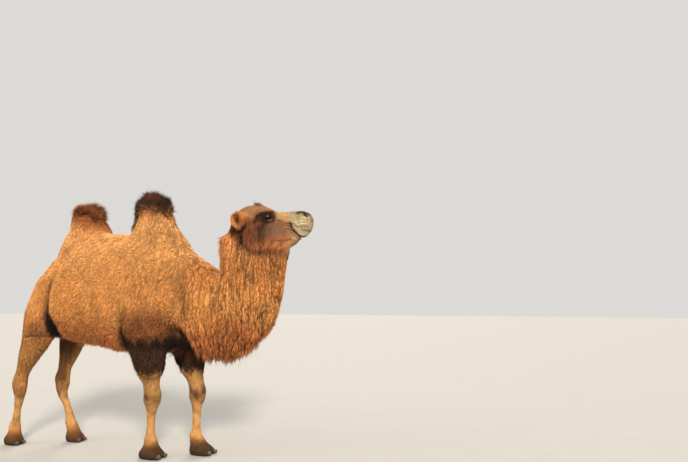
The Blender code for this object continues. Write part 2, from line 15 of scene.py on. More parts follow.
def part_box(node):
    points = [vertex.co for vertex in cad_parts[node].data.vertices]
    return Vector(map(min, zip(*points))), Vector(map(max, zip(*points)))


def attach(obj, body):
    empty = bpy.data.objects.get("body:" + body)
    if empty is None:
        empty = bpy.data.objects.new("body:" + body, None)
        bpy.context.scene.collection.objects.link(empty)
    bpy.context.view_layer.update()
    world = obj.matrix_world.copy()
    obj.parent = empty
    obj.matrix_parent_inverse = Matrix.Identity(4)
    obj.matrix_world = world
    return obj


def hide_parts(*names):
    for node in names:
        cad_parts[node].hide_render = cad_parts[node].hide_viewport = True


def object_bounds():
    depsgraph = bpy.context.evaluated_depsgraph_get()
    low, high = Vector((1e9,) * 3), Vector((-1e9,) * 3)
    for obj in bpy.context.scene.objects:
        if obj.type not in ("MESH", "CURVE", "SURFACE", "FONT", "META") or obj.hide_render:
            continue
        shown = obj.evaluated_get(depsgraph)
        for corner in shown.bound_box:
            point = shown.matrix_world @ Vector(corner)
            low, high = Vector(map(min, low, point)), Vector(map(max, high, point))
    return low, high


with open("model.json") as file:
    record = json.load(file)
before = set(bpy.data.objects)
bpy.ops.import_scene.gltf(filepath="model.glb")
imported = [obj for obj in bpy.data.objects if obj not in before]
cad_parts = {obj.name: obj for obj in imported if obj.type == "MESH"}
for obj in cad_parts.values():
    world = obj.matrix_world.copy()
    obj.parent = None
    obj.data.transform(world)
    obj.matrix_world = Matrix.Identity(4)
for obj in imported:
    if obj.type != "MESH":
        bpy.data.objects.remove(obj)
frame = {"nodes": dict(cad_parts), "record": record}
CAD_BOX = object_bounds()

# Body places are (x, y, z) in metres from the floor midway between the fore feet, with the nose towards +x.
# Head places are along the head, to its left, and up. "Side" is +1 for the left and -1 for the right.
FORE_SOLE = np.array((-0.16, -0.122, 0.0))
HEAD_BASE = np.array((0.62, -0.16, 0.0))
HEAD_TURN = math.radians(20)
HEAD_AXES = np.array((
    (math.cos(HEAD_TURN), math.sin(HEAD_TURN), 0.0),
    (-math.sin(HEAD_TURN), math.cos(HEAD_TURN), 0.0),
    (0.0, 0.0, 1.0),
))
EAR_ROOT = np.array((0.030, 0.085, 1.852))
EAR_TIP = np.array((-0.010, 0.192, 1.962))
SIDES = (-1, 1)

CAMERA_AT = np.array((2.998, -4.402, 1.30))
CAMERA_YAW = math.radians(19.24)
CAMERA_PITCH = math.radians(6.37)
CAMERA_LENS = 31.4

# Lengths are in metres and lift in degrees. Curl, gather and crack are shares, and flow is the lie.
Coat = collections.namedtuple("Coat", "depth length width lift per_m2 curl gather crack flow")
COATS = {
    "barrel": Coat(0.022, 0.042, 0.0055, 18, 12200, 0.22, 0.28, 0.35, (-0.40, 0.0, -0.92)),
    "flank": Coat(0.022, 0.040, 0.0056, 20, 15000, 0.25, 0.30, 0.50, (-0.05, 0.0, -1.00)),
    "crown": Coat(0.034, 0.058, 0.0044, 42, 34000, 0.95, 0.35, 0.20, (0.00, 0.0, 0.30)),
    "neck": Coat(0.026, 0.054, 0.0048, 15, 18200, 0.12, 0.60, 0.90, (-0.06, 0.0, -1.00)),
    "mane": Coat(0.046, 0.078, 0.0053, 15, 17000, 0.12, 0.60, 0.80, (0.02, 0.0, -1.00)),
    "poll": Coat(0.010, 0.022, 0.0034, 28, 50000, 0.70, 0.50, 0.20, (-0.60, 0.0, -0.20)),
    "cheek": Coat(0.014, 0.030, 0.0036, 15, 40000, 0.15, 0.50, 0.45, (-0.40, 0.0, -1.00)),
    "face": Coat(0.004, 0.010, 0.0022, 12, 80000, 0.10, 0.20, 0.00, (-1.00, 0.0, -0.35)),
    "muzzle": Coat(0.003, 0.007, 0.0018, 10, 80000, 0.05, 0.10, 0.00, (-0.80, 0.0, -0.60)),
    "ear": Coat(0.008, 0.020, 0.0026, 24, 65000, 0.25, 0.40, 0.00, (-0.60, 0.0, 0.60)),
    "tail": Coat(0.012, 0.060, 0.0050, 12, 20000, 0.10, 0.50, 0.50, (0.0, 0.0, -1.00)),
    "sleeve": Coat(0.022, 0.050, 0.0054, 20, 19500, 0.12, 0.50, 0.45, (-0.05, 0.0, -1.00)),
    "thigh": Coat(0.010, 0.024, 0.0038, 13, 31000, 0.10, 0.30, 0.15, (-0.20, 0.0, -1.00)),
    "shank": Coat(0.004, 0.013, 0.0030, 11, 46000, 0.05, 0.20, 0.00, (-0.05, 0.0, -1.00)),
    "foot": Coat(0.004, 0.011, 0.0029, 12, 50000, 0.05, 0.20, 0.00, (0.30, 0.0, -1.00)),
}
HEAD_REGIONS = ("poll", "cheek", "face", "muzzle", "ear")

STRAY_SHARE = 0.02
STRAY_STRETCH = 1.6
PATCH = 0.0015
ROOT_SINK = 0.06
LOCKS_PER_TUFT = 0.018
LOCK_STRETCH = 0.30
LOCK_EDGE = 0.0045
SHORTEST_CURVED = 0.026
CRACK_SPACING = 0.044
CRACK_STRETCH = (1, 1, 4)
CRACK_WIDTH = 0.42
# How much the tufts in the partings are darkened: painted shade in the partings.
CRACK_SHADE = 0.74
HAIR_TOP = CAD_BOX[1].z + 0.068
FORELOCK_LENGTH = 0.048
FORELOCK_LIFT = 40

SKIN_VOXEL = 0.0148
SWELL = 0.001


def srgb(code):
    """A colour written as six hexadecimal digits, as linear red, green and blue."""
    parts = np.array([int(code[k:k + 2], 16) for k in (0, 2, 4)]) / 255
    return np.where(parts <= 0.04045, parts / 12.92, ((parts + 0.055) / 1.055) ** 2.4)


TAN = srgb("d69453")
TAN_PALE_LIT = srgb("dda96f")
TAN_DEEP_SHADED = srgb("c27340")
RUST = srgb("c4733a")
MANE_BROWN = srgb("a8673c")
SHOULDER_BROWN = srgb("854b2b")
SLEEVE_BROWN = srgb("432a1b")
NEAR_BLACK = srgb("120b07")
CROWN_DARK = srgb("301d13")
CROWN_RUST = srgb("7c4321")
THIGH_TAN = srgb("b07d45")
THIGH_BROWN = srgb("6b4a30")
SHANK_TAN = srgb("ba8c54")
FOOT_BROWN = srgb("583c22")
KNEE_BROWN = srgb("5c3d28")
HUMP_ORANGE = srgb("bd6d3a")
FOOT_DARK = srgb("33261c")
CREAM = srgb("95856a")
CREAM_LIGHT = srgb("d6cba8")
CREAM_DARK = srgb("6a5a40")
BRIDGE = srgb("b39164")
CHEEK_GREY = srgb("5b4030")
CHEEK_BROWN = srgb("794527")
POLL_TAN = srgb("ad7f58")
EYE_PATCH = srgb("22130b")
THROAT_GREY = srgb("4a3425")
NOSE_BROWN = srgb("4e3823")
MUZZLE_GREY = srgb("74543f")
JAW_BROWN = srgb("95704b")
JAW_ORANGE_LIT = srgb("c6824a")
LID_HIGHLIGHT = srgb("7c6350")
HEAD_TAN = srgb("925635")
EAR_TAN = srgb("bd7f44")
EAR_INNER = srgb("4a2512")
IRIS_BROWN = srgb("3a2010")
IRIS_EDGE = srgb("140a06")
EYE_WHITE = srgb("57402f")
PUPIL_BLACK = srgb("040303")
NAIL_TONE = srgb("40352b")
LASH_DARK = srgb("1d120c")


def ease(values, low, high):
    """0 below low, 1 above high, and a smooth step between."""
    share = np.clip((values - low) / (high - low), 0, 1)
    return share * share * (3 - 2 * share)


def blob(points, centre, radii):
    """1 at the centre, falling smoothly to nearly nothing at twice the radii."""
    offset = (points - np.array(centre)) / np.array(radii)
    return np.exp(-(offset * offset).sum(1))


def along(points, line, half_width):
    """1 on a line through some places, falling smoothly to either side of it."""
    nearest = np.full(len(points), np.inf)
    for start, end in zip(line, line[1:]):
        start, end = np.array(start), np.array(end)
        step = end - start
        share = np.clip((points - start) @ step / (step @ step), 0, 1)
        gap = points - start - share[:, None] * step
        nearest = np.minimum(nearest, np.sqrt((gap * gap).sum(1)))
    return np.exp(-((nearest / half_width) ** 2))


def ripple(points, size, seed, stretch=(1, 1, 1)):
    """A smooth field, mostly from -1 to 1, that changes over about this many metres."""
    rng = np.random.default_rng(seed)
    waves = 6
    total = np.zeros(len(points))
    for _ in range(waves):
        heading = rng.normal(size=3)
        heading /= np.linalg.norm(heading)
        pitch = 2 * math.pi / size * rng.uniform(0.6, 1.5)
        total += np.sin((points / np.array(stretch)) @ heading * pitch + rng.uniform(0, 2 * math.pi))
    return total / math.sqrt(waves)


def unit(vectors):
    """Each vector made one long."""
    return vectors / np.maximum(np.linalg.norm(vectors, axis=1, keepdims=True), 1e-9)


def fore_foot_place():
    """Where the right fore sole is, in the frame."""
    mounts = {mount["name"]: mount for mount in frame["record"]["mounts"]}
    return np.array(mounts["sole_forefoot_right"]["pos_m"])


ORIGIN = fore_foot_place() - FORE_SOLE


def in_head(points):
    """Places in the frame, as along, across and up the head."""
    return (points - ORIGIN - HEAD_BASE) @ HEAD_AXES.T


def from_head(places):
    """Places along, across and up the head, in the frame."""
    return np.asarray(places) @ HEAD_AXES + HEAD_BASE + ORIGIN


def half_of(head):
    """Head places with the left half laid over the right: along, out from the middle, and up."""
    return np.stack((head[:, 0], np.abs(head[:, 1]), head[:, 2]), 1)


# ---------------------------------------------------------------------------
# Surfaces
# ---------------------------------------------------------------------------

class Surface:
    """A closed triangle mesh as arrays."""

    def __init__(self, points, triangles):
        self.points = points
        self.triangles = triangles
        pairs = np.concatenate([triangles[:, (0, 1)], triangles[:, (1, 2)], triangles[:, (2, 0)]])
        self.edges = np.unique(np.sort(pairs, axis=1), axis=0)
        self.neighbours = np.bincount(self.edges.ravel(), minlength=len(points))

    def spread(self, values):
        """The mean of each vertex's neighbours."""
        first, second = self.edges.T
        size = len(self.points)
        columns = []
        for column in values.T:
            total = np.bincount(first, column[second], size) + np.bincount(second, column[first], size)
            columns.append(total / self.neighbours)
        return np.stack(columns, 1)

    def smoothed(self, values, passes, strength=0.6):
        """Values evened out along the surface. Strength may differ by vertex."""
        strength = np.broadcast_to(np.asarray(strength, float), len(self.points))[:, None]
        for _ in range(passes):
            values = values + strength * (self.spread(values) - values)
        return values

    def face_normals(self):
        """Each triangle's normal, twice as long as its area."""
        a, b, c = (self.points[self.triangles[:, k]] for k in range(3))
        return np.cross(b - a, c - a)

    def normals(self):
        """Each vertex's normal."""
        repeated = np.repeat(self.face_normals(), 3, axis=0)
        corners, size = self.triangles.ravel(), len(self.points)
        return unit(np.stack([np.bincount(corners, repeated[:, k], size) for k in range(3)], 1))

    def areas(self):
        return np.linalg.norm(self.face_normals(), axis=1) / 2


def object_of(mesh_data, name):
    made = bpy.data.objects.new(name, mesh_data)
    bpy.context.scene.collection.objects.link(made)
    return made


def swollen_join(names):
    """One mesh of these CAD nodes, each a little larger, so that they run into each other."""
    joined = bmesh.new()
    for name in names:
        node = bmesh.new()
        node.from_mesh(frame["nodes"][name].data)
        bmesh.ops.remove_doubles(node, verts=node.verts, dist=1e-5)
        bmesh.ops.recalc_face_normals(node, faces=node.faces)
        node.normal_update()
        moved = [vertex.co + vertex.normal * SWELL for vertex in node.verts]
        for vertex, place in zip(node.verts, moved):
            vertex.co = place
        copy = bpy.data.meshes.new("copy")
        node.to_mesh(copy)
        joined.from_mesh(copy)
        bpy.data.meshes.remove(copy)
        node.free()
    return joined


def melted(names, voxel, passes):
    """The nodes run together into one smooth closed surface."""
    joined = swollen_join(names)
    source = bpy.data.meshes.new("joined")
    joined.to_mesh(source)
    joined.free()
    piece = object_of(source, "joined")
    remesh = piece.modifiers.new("one surface", "REMESH")
    remesh.mode = "VOXEL"
    remesh.voxel_size = voxel
    smooth = piece.modifiers.new("smooth", "SMOOTH")
    smooth.factor = 0.5
    smooth.iterations = passes
    graph = bpy.context.evaluated_depsgraph_get()
    result = bpy.data.meshes.new_from_object(piece.evaluated_get(graph))
    bpy.data.objects.remove(piece)
    return result


def refined(mesh_data, wanted):
    """Every edge whose ends are both wanted is cut in two. Wanted takes an array of places."""
    made = bmesh.new()
    made.from_mesh(mesh_data)
    inside = wanted(np.array([vertex.co for vertex in made.verts]))
    made.verts.index_update()
    chosen = [edge for edge in made.edges if all(inside[vertex.index] for vertex in edge.verts)]
    bmesh.ops.subdivide_edges(made, edges=chosen, cuts=1, use_grid_fill=True)
    made.to_mesh(mesh_data)
    made.free()


def surface_of(mesh_data):
    """A mesh's places and triangles."""
    mesh_data.calc_loop_triangles()
    points = np.empty(len(mesh_data.vertices) * 3, np.float32)
    mesh_data.vertices.foreach_get("co", points)
    triangles = np.empty(len(mesh_data.loop_triangles) * 3, np.int32)
    mesh_data.loop_triangles.foreach_get("vertices", triangles)
    return Surface(points.reshape(-1, 3).astype(float), triangles.reshape(-1, 3).astype(np.int64))


def mesh_of(name, points, faces_by_size, tones):
    """A smooth mesh from places, arrays of faces, one for each number of corners, and linear colours.

    The materials read the colours as the attribute "tone". The face corners' vertices are returned too.
    """
    made = bpy.data.meshes.new(name)
    made.vertices.add(len(points))
    made.vertices.foreach_set("co", points.astype(np.float32).ravel())
    corners = np.concatenate([faces.ravel() for faces in faces_by_size])
    sizes = np.concatenate([np.full(len(faces), faces.shape[1]) for faces in faces_by_size])
    made.loops.add(len(corners))
    made.loops.foreach_set("vertex_index", corners.astype(np.int32))
    made.polygons.add(len(sizes))
    starts = np.concatenate([(0,), np.cumsum(sizes)[:-1]])
    made.polygons.foreach_set("loop_start", starts.astype(np.int32))
    made.polygons.foreach_set("use_smooth", np.full(len(sizes), True))
    made.update(calc_edges=True)
    layer = made.attributes.new("tone", "FLOAT_COLOR", "POINT")
    values = np.concatenate([tones, np.ones((len(tones), 1))], 1)
    layer.data.foreach_set("color", values.astype(np.float32).ravel())
    return made, corners


# ---------------------------------------------------------------------------
# Which part of the coat is where
# ---------------------------------------------------------------------------

FLESH = sorted(name for name in frame["nodes"] if not name.startswith(("eye_", "nail_")))
EYES = sorted(name for name in frame["nodes"] if name.startswith("eye_"))
NAILS = sorted(name for name in frame["nodes"] if name.startswith("nail_"))


def node_finder():
    """A function that gives the number, in FLESH, of the node nearest each place."""
    points, triangles, owners = [], [], []
    for number, name in enumerate(FLESH):
        node = surface_of(frame["nodes"][name].data)
        triangles.extend((node.triangles + len(points)).tolist())
        points.extend(node.points.tolist())
        owners.extend([number] * len(node.triangles))
    tree = BVHTree.FromPolygons(points, triangles)
    return lambda places: np.array([owners[tree.find_nearest(Vector(place))[2]] for place in places])


def family(name):
    """The kind of body part that a node is."""
    if name.startswith("hump"):
        return "hump"
    if name.startswith("ear"):
        return "ear"
    if "foot" in name:
        return "foot"
    if name.endswith("upper") and "leg" in name:
        return "sleeve" if name.startswith("fore") else "thigh"
    if "leg" in name:
        return "shank"
    return name


SADDLE_X = -0.62
# Where the dark hair on each hump begins, as x and then the height there.
FRONT_CROWN = ((-0.50, -0.42, -0.39, -0.32, -0.20, -0.07, 0.00), (1.90, 1.92, 2.03, 2.08, 2.06, 2.01, 1.99))
REAR_CROWN = ((-1.14, -0.99, -0.84, -0.73, -0.64), (2.07, 2.06, 2.01, 1.92, 1.87))


def head_weights(head, share):
    """How much of each of the head's coats there is."""
    s, _, h = head.T
    muzzle = ease(s, 0.40, 0.46)
    forehead = ease(h, 1.960, 1.985) * ease(-s, -0.28, -0.23)
    jowl = ease(-h, -1.750, -1.735) * ease(-s, -0.41, -0.36)
    face = ease(s + 0.5 * (h - 1.90) * (h < 1.90), 0.13, 0.20) * (1 - muzzle) * (1 - forehead) * (1 - jowl)
    poll = (1 - muzzle - face) * ease(h, 1.93, 1.96)
    return {
        "poll": share["head"] * poll,
        "cheek": share["head"] * np.clip(1 - muzzle - face - poll, 0, 1),
        "face": share["head"] * face,
        "muzzle": share["head"] * muzzle,
        "ear": share["ear"],
    }


def body_weights(places, share):
    """How much of each of the other coats there is."""
    x, y, z = places.T
    rough = ripple(places, 0.10, 11)
    crown_line = np.where(x > SADDLE_X, np.interp(x, *FRONT_CROWN), np.interp(x, *REAR_CROWN))
    crown = share["hump"] * ease(z + 0.02 * rough, crown_line - 0.03, crown_line + 0.02)
    mane = ease(-z + 0.02 * rough, -1.03, -0.90)
    on_foreleg = ease(-z + 0.03 * rough, -1.07, -0.95) * ease(np.abs(y), 0.10, 0.16)
    on_foreleg *= ease(x, -0.38, -0.32) * ease(-x, -0.20, -0.10)
    low_sleeve = ease(-z + 0.02 * rough, -0.72, -0.67)
    behind_flank = ease(-x - np.where(y < 0, 1.195, 1.125), -0.01, 0.04)
    on_hindleg = behind_flank * ease(-z + 0.06 * rough, -1.50, -1.10)
    neck = share["neck_lower"] + share["neck_upper"]
    return {
        "barrel": share["trunk"] * (1 - on_foreleg) * (1 - on_hindleg),
        "flank": share["hump"] - crown,
        "crown": crown,
        "neck": neck * (1 - mane),
        "mane": neck * mane,
        "tail": share["tail"],
        "sleeve": share["sleeve"] * (1 - low_sleeve) + share["trunk"] * on_foreleg,
        "thigh": share["thigh"] + share["trunk"] * on_hindleg * (1 - on_foreleg),
        "shank": share["shank"] + share["sleeve"] * low_sleeve,
        "foot": share["foot"],
    }


def regions_of(skin, nearest):
    """How much of each coat there is at each vertex, as one column a coat, in the order of COATS."""
    kinds = np.array([family(name) for name in FLESH])[nearest]
    names = sorted(set(kinds))
    shares = skin.smoothed(np.stack([kinds == name for name in names], 1).astype(float), 14)
    share = {name: shares[:, k] for k, name in enumerate(names)}
    weights = body_weights(skin.points - ORIGIN, share) | head_weights(in_head(skin.points), share)
    table = np.stack([weights[name] for name in COATS], 1)
    return table / table.sum(1, keepdims=True)


def blended(weights, field):
    """A field of the coats, mixed by how much of each coat there is."""
    return weights @ np.array([getattr(coat, field) for coat in COATS.values()], float)


# ---------------------------------------------------------------------------
# Markings
# ---------------------------------------------------------------------------

KNEE_Z = 0.49
INSIDE_LEG_X = (-0.03, 0.03)
# How far forward the painted shade and dark hair behind the breast reach, at some heights.
ARMPIT_HEIGHTS = (0.78, 0.82, 0.88, 0.98, 1.06, 1.11)
ARMPIT_REACH = (0.35, 0.28, 0.22, 0.21, 0.20, 0.15)

# A fold's line is x and z along it on the right, and the left one lies further forward by shift.
# Depth and dark are the right one's and the left one's; dark is painted shade in the fold, over some dark
# hair at the flank.
Fold = collections.namedtuple("Fold", "half_width fade shift depth dark line")
FOLDS = (
    Fold(0.042, 0.10, 0.07, (0.060, 0.055), (0.7, 0.4),
         ((-1.180, 1.46), (-1.185, 1.34), (-1.155, 1.22), (-1.115, 1.10), (-1.09, 0.98))),
    Fold(0.028, 0.10, 0.09, (0.030, 0.030), (0.5, 0.3),
         ((-0.310, 1.20), (-0.345, 1.09), (-0.365, 0.96), (-0.370, 0.85))),
    Fold(0.035, 0.10, 0.00, (0.012, 0.012), (0.25, 0.25),
         ((0.130, 1.52), (0.190, 1.37), (0.215, 1.22), (0.180, 1.12))),
    Fold(0.050, 0.06, 0.04, (0.050, 0.050), (0.0, 0.0),
         ((0.120, 1.10), (0.150, 0.98), (0.170, 0.86))),
    Fold(0.014, 0.02, 0.07, (0.012, 0.012), (0.8, 0.6),
         ((-1.400, 0.955), (-1.330, 0.975), (-1.250, 0.985), (-1.160, 0.965))),
    Fold(0.010, 0.02, 0.07, (0.006, 0.006), (0.5, 0.4),
         ((-1.320, 0.870), (-1.290, 0.835), (-1.250, 0.820))),
)

# Painted shade, over some dark hair, in the deep gaps before each thigh and behind each elbow: where it
# starts and ends at some heights.
Gap = collections.namedtuple("Gap", "shift dark heights back front")
GAPS = (
    Gap(0.07, (1.0, 0.8), (0.94, 1.03, 1.10, 1.25, 1.44),
        (-1.19, -1.20, -1.20, -1.20, -1.20), (-1.12, -1.05, -1.07, -1.14, -1.17)),
    Gap(0.09, (0.9, 0.7), (0.84, 0.90, 1.00, 1.12),
        (-0.45, -0.435, -0.385, -0.33), (-0.31, -0.315, -0.325, -0.325)),
)


def fold_share(places, fold, side):
    """1 in a fold on one side of the body, fading in towards the fold's ends."""
    x, y, z = places.T
    near = along(np.stack((x - fold.shift * (side > 0), z), 1), fold.line, fold.half_width)
    heights = [height for _, height in fold.line]
    fade = ease(max(heights) - z, -0.5 * fold.fade, fold.fade)
    fade *= ease(z - min(heights), -0.5 * fold.fade, 0.5 * fold.fade)
    return near * ease(y * side, 0.06, 0.12) * fade


def gap_share(places, gap, side):
    """1 in the painted shade, over dark hair, of a gap on one side of the body: sharp in front, soft behind.
    """
    x, y, z = places.T
    x = x - gap.shift * (side > 0)
    back, front = (np.interp(z, gap.heights, edge) for edge in (gap.back, gap.front))
    inside = ease(x - back, -0.03, 0.02) * ease(front - x, -0.006, 0.012)
    inside *= ease(z - gap.heights[0], -0.02, 0.02) * ease(gap.heights[-1] - z, -0.03, 0.05)
    return inside * ease(y * side, 0.08, 0.14)


def cracks(places, share, lock_edge):
    """1 in the thin partings that run down the wool, between locks and through them, and 0 inside a lock."""
    waver = ripple(places, CRACK_SPACING, 41, CRACK_STRETCH)
    patchy = ease(ripple(places, 0.20, 42, (1, 1, 2)), -1.3, 0.4)
    strength = blended(share, "crack")
    strength += 0.5 * ease(places[:, 0], -0.42, -0.25) * ease(places[:, 2], 1.10, 1.25) * (strength > 0.3)
    parting = np.maximum(np.exp(-((waver / CRACK_WIDTH) ** 2)) * patchy, lock_edge)
    return parting * np.clip(strength, 0, 1)


def lay(tone, amount, colour):
    """Lays a colour over the tones, by an amount from 0 to 1 at each place."""
    tone += np.clip(amount, 0, 1)[:, None] * (colour - tone)


def trunk_layers(places, share, patchy):
    """The colours of the barrel, the humps' flanks, the neck and the breast, as amounts and colours."""
    x, y, z = places.T
    rear_hump = share["flank"] * ease(-x, 0.70, 0.85) * ease(x, -1.10, -0.95)
    shoulder = ease(x, -0.36, -0.28) * ease(-x, -0.16, -0.06) * ease(-z, -1.30, -1.08) * share["barrel"]
    chest = share["neck"] + share["mane"]
    armpit = ease(np.interp(z, ARMPIT_HEIGHTS, ARMPIT_REACH) - x, -0.01, 0.03) * ease(-z, -1.12, -1.06)
    armpit *= (chest + share["barrel"]) * ease(x, 0.02, 0.08)
    under = ease(-np.abs(y), -0.12, -0.04) * ease(-z, -1.05, -0.92) * ease(x, -0.45, -0.25)
    under *= share["barrel"] + share["mane"] * ease(-x, -0.30, -0.15)
    return (
        # Painted light: the upper body lighter towards the top.
        (0.45 * ease(z + 0.05 * patchy, 1.35, 1.75), TAN_PALE_LIT),
        # Deeper and redder low on the body: partly the coat's own colour, partly painted shade.
        (0.80 * ease(-z + 0.05 * patchy, -1.20, -0.98), TAN_DEEP_SHADED),
        # Painted light on the humps' flanks.
        (0.5 * share["flank"], TAN_PALE_LIT),
        (0.7 * share["flank"] * ease(z + 0.03 * patchy, 1.93, 2.05), HUMP_ORANGE),
        (0.6 * rear_hump, HUMP_ORANGE),
        (0.85 * shoulder, SHOULDER_BROWN),
        (0.45 * chest * ease(z, 1.30, 1.60), RUST),
        (0.9 * chest * ease(-z + 0.03 * patchy, -1.02, -0.88), MANE_BROWN),
        # Painted shade, over dark hair, behind the breast and under the shoulder.
        (0.95 * armpit, NEAR_BLACK),
        # Painted shade, over dark hair, under the chest between the forelegs.
        (0.9 * under, NEAR_BLACK),
    )


def crown_layers(places, share):
    """The colours of the humps' crowns: the front one dark, the rear one rust with a dark front."""
    x, _, z = places.T
    rear = x < SADDLE_X
    below_crown = ease(z - np.interp(x, *REAR_CROWN), -0.16, 0.0) * ease(z, 1.84, 1.92)
    rear_dark = ease(x, -1.05, -0.90) * ease(z, 2.02, 2.10)
    return (
        (share["crown"] * (x > SADDLE_X), CROWN_DARK),
        (0.7 * share["flank"] * rear * below_crown, CROWN_RUST),
        (share["crown"] * rear, CROWN_RUST),
        (0.75 * share["crown"] * rear * rear_dark, CROWN_DARK),
        (share["crown"] * ease(ripple(places, 0.08, 7), 0.2, 0.9) * 0.4, CROWN_RUST),
    )


def leg_layers(places, share, patchy):
    """The colours of the legs, the feet and the tail."""
    x, y, z = places.T
    inside_leg = ease(-np.abs(y), -0.21, -0.15) * share["sleeve"]
    low_inside = inside_leg * ease(-z, -0.88, -0.80)
    brown_thigh = share["thigh"] * ease(-z, -1.22, -1.00) * ease(z, 0.90, 0.99) * ease(x, -1.45, -1.30)
    joints = 0.65 * (np.exp(-((z - KNEE_Z) / 0.07) ** 2) + 0.5 * ease(z, 0.52, 0.62))
    mottle = 0.45 * ease(ripple(places, 0.07, 9, (1, 1, 2)), 0.1, 1.2)
    return (
        (share["sleeve"], SLEEVE_BROWN),
        # The sleeves darkest at the top: dark hair, with painted shade under the shoulder hair's hem.
        (0.7 * share["sleeve"] * ease(z, 0.86, 0.96) * ease(-z, -1.06, -0.98), NEAR_BLACK),
        # Painted shade high on the forelegs' inner sides, between the legs.
        (0.9 * inside_leg * ease(z, 0.80, 0.88), NEAR_BLACK),
        (0.45 * low_inside * ease(x, *INSIDE_LEG_X), KNEE_BROWN),
        # Painted shade, over dark hair, on the back of the forelegs' inner sides.
        (0.9 * low_inside * ease(-x, -INSIDE_LEG_X[1], -INSIDE_LEG_X[0]), NEAR_BLACK),
        (share["thigh"] * (0.25 + 0.75 * ease(-z + 0.04 * patchy, -1.15, -0.75)), THIGH_TAN),
        # The thigh's lower front browner, darkened towards the stifle crease as painted shade.
        (0.6 * brown_thigh, THIGH_BROWN),
        # Dark brown on the thighs' inner sides: dark hair, darkened further as painted shade.
        (0.85 * ease(-np.abs(y), -0.17, -0.11) * share["thigh"], SLEEVE_BROWN),
        (share["shank"], SHANK_TAN),
        (share["shank"] * (joints + mottle), KNEE_BROWN),
        (share["foot"], FOOT_BROWN),
        # Painted shade: the fore feet darker all over.
        (0.6 * share["foot"] * (x > SADDLE_X), FOOT_DARK),
        # The feet darker towards the floor.
        (0.8 * share["foot"] * ease(-z, -0.07, -0.01), FOOT_DARK),
        (share["tail"] * ease(-z, -1.15, -0.95) * 0.7, CROWN_RUST),
    )


def body_tones(places, share):
    """The trunk's, neck's and legs' colours, before the head's are laid over them."""
    tone = np.tile(TAN, (len(places), 1))
    patchy = ripple(places, 0.35, 3)
    layers = trunk_layers(places, share, patchy) + crown_layers(places, share)
    for amount, colour in layers + leg_layers(places, share, patchy):
        lay(tone, amount, colour)
    # Painted shade, over some dark hair, laid in the folds and the gaps.
    for marks, share_of in ((FOLDS, fold_share), (GAPS, gap_share)):
        for mark in marks:
            for side, dark in zip(SIDES, mark.dark):
                lay(tone, dark * share_of(places, mark, side), NEAR_BLACK)
    return tone


# Lines on the side of the head, as places along and up it.
MOUTH = ((0.424, 1.885), (0.432, 1.850), (0.456, 1.820), (0.489, 1.790), (0.515, 1.779), (0.562, 1.779))
NOSTRIL = ((0.522, 1.974), (0.534, 1.960), (0.551, 1.941))
NOSE_PATCH = ((0.480, 1.972), (0.500, 1.986), (0.530, 1.984), (0.555, 1.966))
NOSE_RIM = ((0.560, 1.974), (0.580, 1.945), (0.592, 1.905))
JAW = ((0.281, 1.741), (0.345, 1.744), (0.384, 1.752), (0.416, 1.761))
HEM = ((0.033, 1.790), (0.040, 1.730), (0.061, 1.693), (0.106, 1.671), (0.170, 1.649), (0.270, 1.649))
WRINKLE_LINES = (
    ((0.395, 1.890), (0.430, 1.884), (0.463, 1.888)),
    ((0.385, 1.868), (0.412, 1.868), (0.435, 1.852)),
    ((0.392, 1.842), (0.418, 1.840), (0.446, 1.826)),
    ((0.195, 1.893), (0.235, 1.882), (0.285, 1.892)),
)
UNDER_BRIDGE = ((0.290, 1.913), (0.342, 1.904), (0.395, 1.893), (0.420, 1.887))
BROW = ((0.165, 1.945), (0.205, 1.958), (0.240, 1.968), (0.275, 1.972))
EYE_CORNER = ((0.275, 1.978), (0.297, 1.958), (0.298, 1.933), (0.285, 1.908))
EYE_SHADOW = ((0.155, 1.918), (0.195, 1.915), (0.240, 1.905))
UNDER_EYE = ((0.245, 1.905), (0.220, 1.878), (0.200, 1.845))
LOWER_LID = ((0.248, 1.906), (0.266, 1.907), (0.278, 1.917))
LIP_STREAKS = (
    ((0.455, 1.868), (0.500, 1.864), (0.560, 1.872)),
    ((0.520, 1.842), (0.560, 1.834), (0.595, 1.832)),
)
SHADE_UNDER_EAR = ((-0.077, 1.868), (-0.033, 1.846), (0.028, 1.824), (0.066, 1.860))

# How far out from the middle of the head a mark begins, and is full.
EVERYWHERE = (-2.0, -1.0)
OFF_MIDDLE = (0.03, 0.05)
LIP_START = (0.01, 0.03)
NOSE_START = (0.008, 0.02)
NOSTRIL_START = (0.012, 0.03)
HEM_START = (0.05, 0.08)
BAND_START = (0.07, 0.10)

# A mark's place is a spot with radii, or a line with a half width.
Mark = collections.namedtuple("Mark", "amount colour place size start")
CHEEK_MARKS = (
    Mark(1.3, MUZZLE_GREY, (0.320, 0.08, 1.835), (0.100, 0.10, 0.062), EVERYWHERE),
    Mark(1.1, CHEEK_GREY, (0.215, 0.10, 1.800), (0.085, 0.12, 0.062), EVERYWHERE),
    Mark(0.9, CHEEK_BROWN, UNDER_BRIDGE, 0.011, OFF_MIDDLE),
    # Orange-tan hair under the jaw crease, lightened as a painted highlight.
    Mark(1.1, JAW_ORANGE_LIT, (0.300, 0.08, 1.708), (0.100, 0.10, 0.030), EVERYWHERE),
)
MUZZLE_MARKS = (
    Mark(0.5, CREAM_LIGHT, (0.545, 0.06, 1.805), (0.050, 0.10, 0.018), EVERYWHERE),
    # Painted shade on the muzzle under the nose.
    Mark(0.6, CREAM_DARK, (0.485, 0.06, 1.940), (0.030, 0.10, 0.018), EVERYWHERE),
    Mark(0.8, CREAM_DARK, LIP_STREAKS[0], 0.008, LIP_START),
    Mark(0.8, CREAM_DARK, LIP_STREAKS[1], 0.008, LIP_START),
)
CHIN_MARK = Mark(0.4, CREAM_LIGHT, (0.462, 0.05, 1.776), (0.022, 0.10, 0.010), EVERYWHERE)
